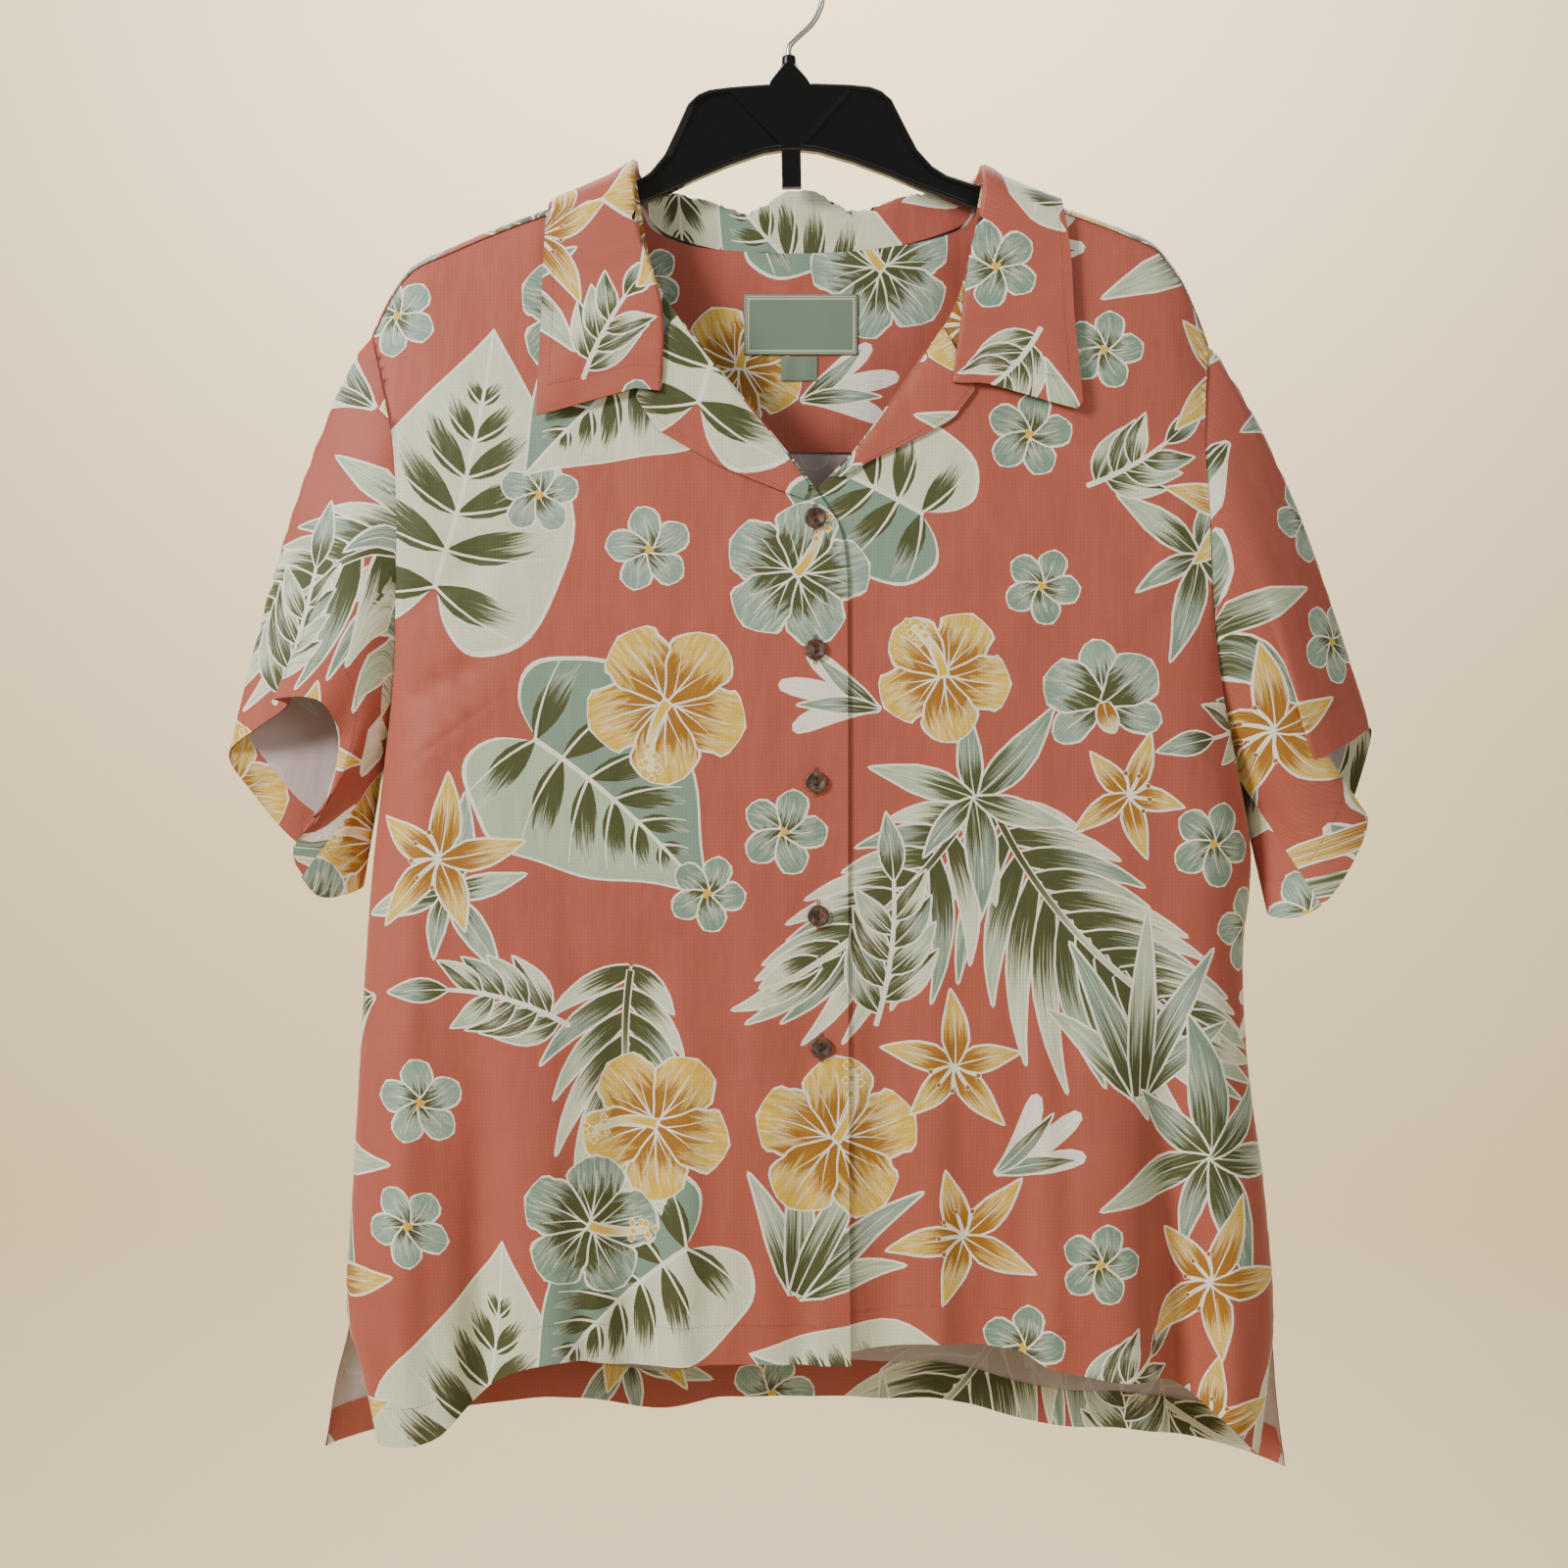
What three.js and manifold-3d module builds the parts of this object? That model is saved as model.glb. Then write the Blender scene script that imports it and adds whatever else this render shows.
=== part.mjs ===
// A short-sleeved camp shirt with a notched collar, hanging on a black plastic hanger with a wire hook.
// Millimetres, +Z up, the shirt's front faces -Y. The origin is the inside top of the hook, where it hangs.
// "right" and "left" are the wearer's, so the right side of the shirt lies at -X.
import * as THREE from "three";
import { mergeVertices } from "three/addons/utils/BufferGeometryUtils.js";
import Module from "manifold-3d";

const wasm = await Module();
wasm.setup();

// Driving dimensions
const CLOTH = 1.5; // wall of one layer of cloth
const LAYER = 2.4; // step from one layer of cloth to the next that lies on it
const SEAM_GAP = 0.5; // between the rims of two pieces sewn together
const RIDGE = 10; // bend of the cloth over the hanger's arm
const FRONT_DEPTH = 38; // how far the front stands off the hanger's plane
const BACK_DEPTH = 25; // the same for the back
const SHOULDER_SEAM = 4.7; // the shoulder seam's drop below the ridge, on the front
const SHOULDER_GAP = 0.9; // the same along the curved shoulder seam
const YOKE_SEAM_Z = -321.4;
const NECK = { right: -99.6, left: 128.4 }; // where the neck seam crosses the shoulder ridge

const HANGER = { thick: 9.6, rim: 3.4, web: 4, armHeight: 17.5, tilt: 0.021, shift: 3.2 };
const HOOK = { radius: 23, wire: 3.8 };
const BUTTON = { radius: 7, thick: 2.4, well: 4.6, hole: 1.0, holeOffset: 1.7 };

// Interpolation of a table's columns over its first column, t
function columnAt(table, name, t) {
  const last = table.length - 1;
  if (t <= table[0].t) return table[0][name];
  if (t >= table[last].t) return table[last][name];
  let i = 0;
  while (table[i + 1].t < t) i += 1;
  const slope = (k) => {
    const a = table[Math.max(k - 1, 0)];
    const b = table[Math.min(k + 1, last)];
    return (b[name] - a[name]) / (b.t - a.t);
  };
  const span = table[i + 1].t - table[i].t;
  const f = (t - table[i].t) / span;
  const h = f * f * (3 - 2 * f);
  const start = table[i][name] + (slope(i) * f * (1 - f) * (1 - f)) * span;
  const end = -(slope(i + 1) * f * f * (1 - f)) * span;
  return start + (table[i + 1][name] - table[i][name]) * h + end;
}

const lerp = (a, b, f) => a + (b - a) * f;
const clamp01 = (f) => Math.min(1, Math.max(0, f));
const ease = (f) => clamp01(f) * clamp01(f) * (3 - 2 * clamp01(f));

// Top edge of the hanger's half, t out from its middle, before the hanger's own tilt
const hangerEdge = [
  { t: 15, z: -79.3 },
  { t: 40, z: -80.6 },
  { t: 53.8, z: -82.2 },
  { t: 61.1, z: -85.2 },
  { t: 67.6, z: -91.2 },
  { t: 75.8, z: -108.3 },
  { t: 83.9, z: -124.6 },
  { t: 93.7, z: -136 },
  { t: 102.9, z: -142.1 },
  { t: 128.3, z: -151 },
  { t: 158.8, z: -161.2 },
  { t: 193.5, z: -173.2 },
  { t: 216.9, z: -182.4 },
  { t: 238, z: -191.6 },
];
const RIDGE_CLEAR = 3.3; // from the hanger's edge to the middle of the cloth over it
function ridgeOnArm(x) {
  return columnAt(hangerEdge, "z", Math.abs(x - HANGER.shift)) + HANGER.tilt * x + RIDGE_CLEAR;
}

// Shoulder ridge: over the hanger's arms, dropping past their tips, and level between the neck points
const rightDrop = [
  { t: -276, z: -245 },
  { t: -266, z: -225 },
  { t: -256.5, z: -209 },
  { t: -244, z: -197 },
  { t: -225, z: ridgeOnArm(-225) },
  { t: -215, z: ridgeOnArm(-215) },
];
const leftDrop = [
  { t: 225, z: ridgeOnArm(225) },
  { t: 235, z: ridgeOnArm(235) },
  { t: 247, z: -188.5 },
  { t: 262, z: -209 },
  { t: 273, z: -233 },
  { t: 280, z: -252 },
];
function ridgeHeight(x) {
  if (x < -225) return columnAt(rightDrop, "z", x);
  if (x > 235) return columnAt(leftDrop, "z", x);
  if (x < NECK.right || x > NECK.left) return ridgeOnArm(x);
  const f = (x - NECK.right) / (NECK.left - NECK.right);
  return lerp(ridgeOnArm(NECK.right), ridgeOnArm(NECK.left), f);
}

// Vertical folds. x moves from top to hem, depth is at the hem, and each grows from its top downwards.
const frontFolds = [
  { name: "right hip trough", xTop: -210, xHem: -198, top: -640, depth: -15, half: 17 },
  { name: "right hip roll", xTop: -180, xHem: -150, top: -520, depth: 7, half: 26 },
  { name: "right waist trough", xTop: -110, xHem: -104, top: -560, depth: -9, half: 20 },
  { name: "placket hollow", xTop: 60, xHem: 66, top: -600, depth: -6, half: 30 },
  { name: "left waist hollow", xTop: 130, xHem: 138, top: -640, depth: -8, half: 24 },
  { name: "left hip roll", xTop: 205, xHem: 214, top: -560, depth: 9, half: 20 },
  { name: "left hip trough", xTop: 240, xHem: 256, top: -600, depth: -24, half: 18 },
];
const backFolds = [
  { name: "right back wave", xTop: -170, xHem: -175, top: -500, depth: -7, half: 30 },
  { name: "mid back wave", xTop: -30, xHem: -45, top: -520, depth: -6, half: 40 },
  { name: "left back wave", xTop: 120, xHem: 125, top: -500, depth: -8, half: 34 },
];
const HEM_REFERENCE = -930;

function foldDepth(folds, x, z) {
  let sum = 0;
  for (const fold of folds) {
    const f = clamp01((fold.top - z) / (fold.top - HEM_REFERENCE));
    const away = (x - lerp(fold.xTop, fold.xHem, f)) / fold.half;
    sum += fold.depth * ease(f) * Math.exp(-away * away);
  }
  return sum;
}

// Side seam and armhole, from the hem at t 0 to the shoulder tip at t 1. front and back are the depths
// of the two panels there. Below the vent's top the back has an edge of its own, backX.
const UNDERARM = 0.62;
const rightSide = [
  { t: 0, x: -268, z: -978, front: 24, backX: -310, back: 12 },
  { t: 0.06, x: -279, z: -935, front: 14, backX: -303, back: 8 },
  { t: 0.12, x: -292, z: -894, front: 2.2, backX: -293, back: 2.2 },
  { t: 0.25, x: -288, z: -805, front: 1.1, backX: -288, back: 1.1 },
  { t: 0.35, x: -284, z: -734, front: 1.1, backX: -284, back: 1.1 },
  { t: 0.45, x: -280, z: -666, front: 1.1, backX: -280, back: 1.1 },
  { t: 0.53, x: -276, z: -610, front: 1.1, backX: -276, back: 1.1 },
  { t: 0.62, x: -267, z: -530, front: 3, backX: -267, back: 3 },
  { t: 0.7, x: -259, z: -474, front: 17, backX: -259, back: 14 },
  { t: 0.78, x: -256, z: -416, front: 26, backX: -256, back: 20 },
  { t: 0.84, x: -255.5, z: -365, front: 27, backX: -255.5, back: 20 },
  { t: 0.9, x: -259, z: -319, front: 22, backX: -259, back: 17 },
  { t: 0.95, x: -266, z: -284, front: 15, backX: -266, back: 12 },
  { t: 1, x: -275, z: -247, front: 6, backX: -275, back: 6 },
];
const leftSide = [
  { t: 0, x: 311, z: -987, front: 14, backX: 334, back: 6 },
  { t: 0.06, x: 318, z: -941, front: 8, backX: 328, back: 4 },
  { t: 0.12, x: 323, z: -894, front: 2.2, backX: 324, back: 2.2 },
  { t: 0.25, x: 316, z: -805, front: 1.1, backX: 316, back: 1.1 },
  { t: 0.32, x: 309.5, z: -760, front: 1.1, backX: 309.5, back: 1.1 },
  { t: 0.4, x: 305, z: -719, front: 1.1, backX: 305, back: 1.1 },
  { t: 0.49, x: 303, z: -652, front: 1.1, backX: 303, back: 1.1 },
  { t: 0.56, x: 308, z: -591, front: 1.4, backX: 308, back: 1.4 },
  { t: 0.62, x: 298.5, z: -535, front: 5, backX: 298.5, back: 4 },
  { t: 0.7, x: 286, z: -480, front: 19, backX: 286, back: 14 },
  { t: 0.78, x: 278.5, z: -422, front: 27, backX: 278.5, back: 20 },
  { t: 0.84, x: 276.5, z: -370, front: 28, backX: 276.5, back: 20 },
  { t: 0.9, x: 274.5, z: -323, front: 22, backX: 274.5, back: 17 },
  { t: 0.95, x: 276, z: -291, front: 15, backX: 276, back: 12 },
  { t: 1, x: 279.5, z: -254, front: 6, backX: 279.5, back: 6 },
];
const byHeight = (table) => table.map((row) => ({ ...row, t: row.z }));
const sideByHeight = { right: byHeight(rightSide), left: byHeight(leftSide) };

// Depth of the front (side -1) or back (side 1) off the hanger's plane. The cloth bends over the ridge,
// hangs out to its full depth, and turns in to meet the other panel at its sides.
const SIDE_ROUND = 42;
const HANG = {
  "-1": { full: FRONT_DEPTH, fall: 140, folds: frontFolds, edgeX: "x", seam: "front" },
  1: { full: BACK_DEPTH, fall: 80, folds: backFolds, edgeX: "backX", seam: "back" },
};
function depthAt(side, x, z) {
  const { full, fall, folds, edgeX, seam } = HANG[side];
  const below = Math.max(0, ridgeHeight(x) - z);
  const cap = below < RIDGE ? Math.sqrt(RIDGE ** 2 - (RIDGE - below) ** 2) / RIDGE : 1;
  const hang = RIDGE + (full - RIDGE) * (1 - Math.exp(-below / fall)) + foldDepth(folds, x, z);
  const table = sideByHeight[x < 10 ? "right" : "left"];
  const away = Math.abs(columnAt(table, edgeX, z) - x);
  const turn = Math.sqrt(1 - (1 - clamp01(away / SIDE_ROUND)) ** 2);
  return cap * lerp(columnAt(table, seam, z), hang, turn);
}

// A point of the front or back cloth, moved out of it by lift
function onCloth(side, x, z, lift = 0) {
  const step = 2;
  const slopeX = (depthAt(side, x + step, z) - depthAt(side, x - step, z)) / (2 * step);
  const slopeZ = (depthAt(side, x, z + step) - depthAt(side, x, z - step)) / (2 * step);
  const normal = new THREE.Vector3(-slopeX, side, -slopeZ).normalize();
  return new THREE.Vector3(x, side * depthAt(side, x, z), z).addScaledVector(normal, lift);
}

// The same by the length of cloth from the ridge, negative towards the front
const QUARTER = (RIDGE * Math.PI) / 2;
function overShoulder(x, length, lift) {
  const side = length < 0 ? -1 : 1;
  const angle = Math.abs(length) / RIDGE;
  if (Math.abs(length) >= QUARTER) {
    return onCloth(side, x, ridgeHeight(x) - RIDGE - (Math.abs(length) - QUARTER), lift);
  }
  const z = ridgeHeight(x) - RIDGE * (1 - Math.cos(angle));
  const normal = new THREE.Vector3(0, side * Math.sin(angle), Math.cos(angle));
  return new THREE.Vector3(x, side * depthAt(side, x, z), z).addScaledVector(normal, lift);
}
function lengthTo(side, x, z) {
  const below = ridgeHeight(x) - z;
  return side * (below < RIDGE ? RIDGE * Math.acos(1 - Math.max(below, 0) / RIDGE) : below - RIDGE + QUARTER);
}

// Free edges of the fronts, from the hem at t 0, round the break of the lapel, to the neck point at t 1
const rightFreeEdge = [
  { t: 0, x: 41.3, z: -923 },
  { t: 0.12, x: 40.7, z: -853 },
  { t: 0.45, x: 39.7, z: -640 },
  { t: 0.7, x: 39.3, z: -451 },
  { t: 0.78, x: 36.8, z: -387 },
  { t: 0.84, x: 19.9, z: -354 },
  { t: 0.9, x: -18, z: -305 },
  { t: 0.95, x: -62, z: -250 },
  { t: 0.98, x: -88, z: -208 },
  { t: 1, x: NECK.right, z: ridgeHeight(NECK.right) - SHOULDER_SEAM - SHOULDER_GAP },
];
const leftFreeEdge = [
  { t: 0, x: -2.6, z: -919.5 },
  { t: 0.12, x: -2.6, z: -854 },
  { t: 0.45, x: -2.6, z: -640 },
  { t: 0.7, x: -2.2, z: -451 },
  { t: 0.78, x: 1, z: -394 },
  { t: 0.84, x: 15, z: -358 },
  { t: 0.9, x: 46, z: -323.5 },
  { t: 0.95, x: 86, z: -267 },
  { t: 0.98, x: 113, z: -224 },
  { t: 1, x: NECK.left, z: ridgeHeight(NECK.left) - SHOULDER_SEAM - SHOULDER_GAP },
];

// Hems, from the side seam at t 0 to the free edge at t 1, and the back's from right to left
const rightHem = [
  { t: 0, x: -268, z: -978 },
  { t: 0.13, x: -229, z: -971 },
  { t: 0.2, x: -206, z: -949 },
  { t: 0.28, x: -181, z: -929 },
  { t: 0.39, x: -145, z: -919.5 },
  { t: 0.53, x: -104, z: -924 },
  { t: 0.77, x: -28, z: -922 },
  { t: 1, x: 41.3, z: -923 },
];
const leftHem = [
  { t: 0, x: 311, z: -987 },
  { t: 0.1, x: 284, z: -959 },
  { t: 0.2, x: 252, z: -937 },
  { t: 0.33, x: 208, z: -931 },
  { t: 0.45, x: 168, z: -923 },
  { t: 0.5, x: 152, z: -914 },
  { t: 0.68, x: 97, z: -909 },
  { t: 0.8, x: 62, z: -912 },
  { t: 1, x: -2.6, z: -919.5 },
];
const backHem = [
  { t: 0, x: -310, z: -989 },
  { t: 0.08, x: -270, z: -979 },
  { t: 0.22, x: -170, z: -958 },
  { t: 0.35, x: -85, z: -966 },
  { t: 0.42, x: -41, z: -958 },
  { t: 0.58, x: 64, z: -960 },
  { t: 0.66, x: 116, z: -961 },
  { t: 0.75, x: 177, z: -978 },
  { t: 0.88, x: 264, z: -984 },
  { t: 1, x: 334, z: -1002 },
];

// A closed wall of cloth round a grid of points, rows[i][j], with a rim, or closed on itself along i
function clothWall(rows, { thick = CLOTH, ring = false } = {}) {
  const across = rows.length;
  const along = rows[0].length;
  const at = (i, j) => rows[ring ? (i + across) % across : Math.min(Math.max(i, 0), across - 1)][
    Math.min(Math.max(j, 0), along - 1)];
  const positions = [];
  for (const side of [0.5, -0.5]) {
    for (let i = 0; i < across; i += 1) {
      for (let j = 0; j < along; j += 1) {
        const alongI = at(i + 1, j).clone().sub(at(i - 1, j));
        const alongJ = at(i, j + 1).clone().sub(at(i, j - 1));
        const normal = alongI.cross(alongJ).normalize();
        const point = at(i, j).clone().addScaledVector(normal, side * thick);
        positions.push(point.x, point.y, point.z);
      }
    }
  }
  const index = (layer, i, j) => layer * across * along + (i % across) * along + j;
  const triangles = [];
  const quad = (a, b, c, d) => triangles.push(a, b, c, a, c, d);
  const lastI = ring ? across : across - 1;
  for (let i = 0; i < lastI; i += 1) {
    for (let j = 0; j < along - 1; j += 1) {
      quad(index(0, i, j), index(0, i + 1, j), index(0, i + 1, j + 1), index(0, i, j + 1));
      quad(index(1, i, j), index(1, i, j + 1), index(1, i + 1, j + 1), index(1, i + 1, j));
    }
    const top = along - 1;
    quad(index(1, i, 0), index(1, i + 1, 0), index(0, i + 1, 0), index(0, i, 0));
    quad(index(0, i, top), index(0, i + 1, top), index(1, i + 1, top), index(1, i, top));
  }
  for (let j = 0; !ring && j < along - 1; j += 1) {
    const end = across - 1;
    quad(index(1, 0, j), index(0, 0, j), index(0, 0, j + 1), index(1, 0, j + 1));
    quad(index(0, end, j), index(1, end, j), index(1, end, j + 1), index(0, end, j + 1));
  }
  const geometry = new THREE.BufferGeometry();
  geometry.setAttribute("position", new THREE.Float32BufferAttribute(positions, 3));
  geometry.setIndex(triangles);
  return geometry;
}

const grid = (us, vs, point) => us.map((u) => vs.map((v) => point(u, v)));
const steps = (count) => Array.from({ length: count + 1 }, (_, k) => k / count);

// Coons patch between a side, a free edge, a hem and a top edge, in the plane of x and z
function patch(sideAt, edgeAt, hemAt, topAt, u, v) {
  const blend = (name) => {
    const acrossRows = lerp(sideAt(v)[name], edgeAt(v)[name], u);
    const upColumns = lerp(hemAt(u)[name], topAt(u)[name], v);
    const bottom = lerp(sideAt(0)[name], edgeAt(0)[name], u);
    const top = lerp(sideAt(1)[name], edgeAt(1)[name], u);
    return acrossRows + upColumns - lerp(bottom, top, v);
  };
  return { x: blend("x"), z: blend("z") };
}
const curve = (table) => (t) => ({ x: columnAt(table, "x", t), z: columnAt(table, "z", t) });

// Front panels. The left one lies under the right one where they overlap.
const UNDERLAP = 2.6;
const underlap = (side, x) => (side === "left" ? UNDERLAP * ease((115 - x) / 60) : 0);
function frontPoint(side, u, v, lift = 0) {
  const isRight = side === "right";
  const sideTable = isRight ? rightSide : leftSide;
  const tip = columnAt(sideTable, "x", 1);
  const shoulderAt = (t) => {
    const x = lerp(tip, NECK[side], t);
    return { x, z: ridgeHeight(x) - SHOULDER_SEAM - SHOULDER_GAP };
  };
  const edge = curve(isRight ? rightFreeEdge : leftFreeEdge);
  const hem = curve(isRight ? rightHem : leftHem);
  const { x, z } = patch(curve(sideTable), edge, hem, shoulderAt, u, v);
  const point = onCloth(-1, x, z, lift);
  point.y += underlap(side, x);
  return point;
}

const frontAcross = [0, 0.012, 0.045, 0.1, 0.17, 0.25, 0.34, 0.44, 0.54, 0.65, 0.77, 0.89, 1];
const frontUp = [0, 0.03, 0.07, 0.12, 0.18, 0.24, 0.3, 0.36, 0.42, 0.48, 0.54, 0.59, 0.64, 0.69,
  0.74, 0.79, 0.83, 0.87, 0.91, 0.945, 0.97, 0.987, 1];
const frontPanel = (side) => clothWall(grid(frontAcross, frontUp, (u, v) => frontPoint(side, u, v)));

// The back below the yoke
const YOKE_SEAM = 0.9; // where the yoke seam meets the armhole, on the sides' own t
function backPoint(u, v) {
  const edgeOf = (table) => (t) => {
    const s = YOKE_SEAM * t;
    const z = lerp(columnAt(table, "z", s), YOKE_SEAM_Z, ease((t - 0.8) / 0.2));
    return { x: columnAt(table, "backX", s), z };
  };
  const right = edgeOf(rightSide);
  const left = edgeOf(leftSide);
  const seam = (t) => ({ x: lerp(right(1).x, left(1).x, t), z: YOKE_SEAM_Z });
  const { x, z } = patch(right, left, curve(backHem), seam, u, v);
  return onCloth(1, x, z);
}

const backAcross = [0, 0.006, 0.022, 0.05, 0.09, 0.15, 0.22, 0.29, 0.36, 0.43, 0.5,
  0.57, 0.64, 0.71, 0.78, 0.85, 0.91, 0.95, 0.978, 0.994, 1];
const backPanel = () => clothWall(grid(backAcross, steps(17), backPoint));

// The yoke goes from the yoke seam over the shoulder ridge to the shoulder seam on the front.
// Between the neck points it ends at the back neck seam. t is x.
const neckSeam = [
  { t: NECK.right, z: -158 },
  { t: -92, z: -173 },
  { t: -78, z: -180.5 },
  { t: -61, z: -185.5 },
  { t: -38, z: -188 },
  { t: -2, z: -190 },
  { t: 41, z: -188.7 },
  { t: 74, z: -185 },
  { t: 99, z: -180.5 },
  { t: 122, z: -170.5 },
  { t: NECK.left, z: -158 },
];
// Round a neck point the yoke's columns end closer and closer behind the ridge: foot and top are how far in
// from the neck point the column stands, end is the length of cloth from the ridge to its top
const neckTurn = [
  { foot: 3, top: 0.4, end: -3 },
  { foot: 6, top: 0.8, end: 2.5 },
  { foot: 9, top: 1.3, end: 8 },
  { foot: 12, top: 2, end: 14 },
  { foot: 15, top: 3.6, end: 23 },
];
const neckColumns = [-88, -70, -48, -20, 12, 45, 74, 100, 117]; // x of the rest
const shoulderEnd = -(RIDGE * Math.acos(1 - SHOULDER_SEAM / RIDGE));
const yokeColumns = [
  ...frontAcross.map((u) => ({ neck: "right", u, end: shoulderEnd })),
  ...neckTurn.map(({ foot, top, end }) => ({ foot: NECK.right + foot, top: NECK.right + top, end })),
  ...neckColumns.map((x) => ({ foot: x, top: x, end: lengthTo(1, x, columnAt(neckSeam, "z", x)) })),
  ...neckTurn.toReversed().map(({ foot, top, end }) => ({
    foot: NECK.left - foot, top: NECK.left - top, end })),
  ...frontAcross.toReversed().map((u) => ({ neck: "left", u, end: shoulderEnd })),
];
const yokeRows = [0, 0.25, 0.5, 0.75, 1]; // of the way from the yoke seam to the bend over the ridge
const bendRows = [QUARTER - 5.5, QUARTER - 11, 0, -QUARTER + 11, shoulderEnd]; // lengths from the ridge

function yokeColumn({ neck, u, foot, top, end }) {
  const edge = neck && sideByHeight[neck];
  const start = YOKE_SEAM_Z + SEAM_GAP;
  const xAt = (z, f) => (neck ? lerp(columnAt(edge, "x", z), NECK[neck], u) : lerp(foot, top, f));
  const tipX = xAt(-240, 1);
  const footLength = lengthTo(1, tipX, start);
  const lengths = [...yokeRows.map((f) => lerp(footLength, QUARTER, f)), ...bendRows];
  return lengths.map((length) => {
    const f = (footLength - length) / (footLength - shoulderEnd);
    const own = lerp(footLength, end, f);
    const z = ridgeHeight(tipX) - RIDGE - (own - QUARTER);
    if (own > QUARTER) return onCloth(1, xAt(z, f), z);
    return overShoulder(tipX, own, 0);
  });
}
const yokeOuter = () => clothWall(yokeColumns.map(yokeColumn));

// The inner yoke hangs inside the outer one and stops short of the shoulder ridge
const INNER_YOKE_DROP = 16;
function innerYokePoint(x, v, lift = -LAYER) {
  const inNeck = x > NECK.right && x < NECK.left;
  const top = inNeck ? columnAt(neckSeam, "z", x) - 1.5 : ridgeHeight(x) - INNER_YOKE_DROP;
  return onCloth(1, x, lerp(YOKE_SEAM_Z + SEAM_GAP, top, v), lift);
}
const innerYokeX = [-218, -190, -160, -130, -106, -98, -88, -60, -30, 0, 30, 62, 94, 118, 127, 135, 160, 190, 222];
const yokeInner = () => clothWall(grid(innerYokeX, steps(5), innerYokePoint));

// Neck label and size tab, sewn on the inner yoke
const LABEL_THICK = 0.8;
const LABEL_LIFT = -LAYER - (CLOTH + LABEL_THICK) / 2 - 0.4;
function label(low, high) {
  const xs = steps(4).map((f) => lerp(low[0], high[0], f));
  const zs = steps(2).map((f) => lerp(low[1], high[1], f));
  return clothWall(grid(xs, zs, (x, z) => onCloth(1, x, z, LABEL_LIFT)), { thick: LABEL_THICK });
}

// Lapels: the front facings turned out, between the roll line and the lapel's own edge
const rightLapel = [
  { t: 0, rollX: 14, rollZ: -349, outX: 13, outZ: -360 },
  { t: 0.25, rollX: -10, rollZ: -317, outX: -14, outZ: -350 },
  { t: 0.5, rollX: -37, rollZ: -284, outX: -43, outZ: -338 },
  { t: 0.8, rollX: -60, rollZ: -255, outX: -85, outZ: -313.5 },
  { t: 1, rollX: -73.5, rollZ: -236, outX: -78, outZ: -290 },
];
const leftLapel = [
  { t: 0, rollX: 31, rollZ: -343, outX: 35, outZ: -346 },
  { t: 0.25, rollX: 52, rollZ: -318, outX: 54, outZ: -334 },
  { t: 0.5, rollX: 70, rollZ: -293, outX: 77, outZ: -323 },
  { t: 0.8, rollX: 90, rollZ: -264, outX: 108, outZ: -307 },
  { t: 1, rollX: 102, rollZ: -245, outX: 103.5, outZ: -284 },
];
function lapel(side, table) {
  const rows = grid(steps(8), steps(4), (t, v) => {
    const x = lerp(columnAt(table, "rollX", t), columnAt(table, "outX", t), v);
    const z = lerp(columnAt(table, "rollZ", t), columnAt(table, "outZ", t), v);
    const point = onCloth(-1, x, z, LAYER);
    point.y += underlap(side, x);
    return point;
  });
  return clothWall(rows);
}

// The collar: one strip from notch to notch, standing from the neck seam to its roll, then falling outside.
// The front stations lie on the fronts; the ridge ones cross the shoulder; the back ones stand free.
// edge is the leaf's outer edge, by x and z, with the side of the shirt that z is read on.
const collarStations = [
  { at: "front", seam: [-86, -285], roll: [-81.5, -289], edge: [-163, -305, -1] },
  { at: "front", seam: [-86, -243], roll: [-80.5, -243], edge: [-161, -250, -1] },
  { at: "front", seam: [-93, -212], roll: [-86.5, -213], edge: [-160, -215, -1] },
  { at: "front", seam: [-104, -180], roll: [-97, -178], edge: [-159, -188, -1] },
  { at: "ridge", seam: [-103, 0], roll: [-99, 11.5], edge: [-158, -172, -1] },
  { at: "back", seam: [-99, -150, 3], roll: [-95, -145, 6], edge: [-150, -186, 1] },
  { at: "back", seam: [-90, -168, 2.4], roll: [-87, -147, 5], edge: [-128, -206, 1] },
  { at: "back", seam: [-72, -178.5, 1], roll: [-71, -149, 4], edge: [-92, -218, 1] },
  { at: "back", seam: [-44, -185.5, 0], roll: [-44, -155, 3], edge: [-54, -224, 1] },
  { at: "back", seam: [-26, -187, 0], roll: [-26, -160.5, 2], edge: [-30, -226, 1] },
  { at: "back", seam: [-4, -188, 0], roll: [-4, -149, 3], edge: [-4, -226, 1] },
  { at: "back", seam: [22, -187.5, 0], roll: [22, -149, 3], edge: [24, -226, 1] },
  { at: "back", seam: [46, -186.5, 0], roll: [46, -159, 2], edge: [54, -226, 1] },
  { at: "back", seam: [76, -182.5, 0], roll: [75, -151, 3], edge: [94, -222, 1] },
  { at: "back", seam: [103, -175, 1], roll: [101, -149, 5], edge: [134, -212, 1] },
  { at: "back", seam: [120, -167, 2.4], roll: [117, -148, 5], edge: [162, -200, 1] },
  { at: "back", seam: [128, -151, 3], roll: [124, -146, 6], edge: [176, -187, 1] },
  { at: "ridge", seam: [132, 0], roll: [128, 11.5], edge: [183, -172, -1] },
  { at: "front", seam: [133.5, -176], roll: [126.5, -170], edge: [185, -188, -1] },
  { at: "front", seam: [125.5, -199], roll: [119.5, -199], edge: [186.5, -206, -1] },
  { at: "front", seam: [120, -240], roll: [114, -240], edge: [188, -246, -1] },
  { at: "front", seam: [113, -280], roll: [107, -284], edge: [192.5, -302, -1] },
];

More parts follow.
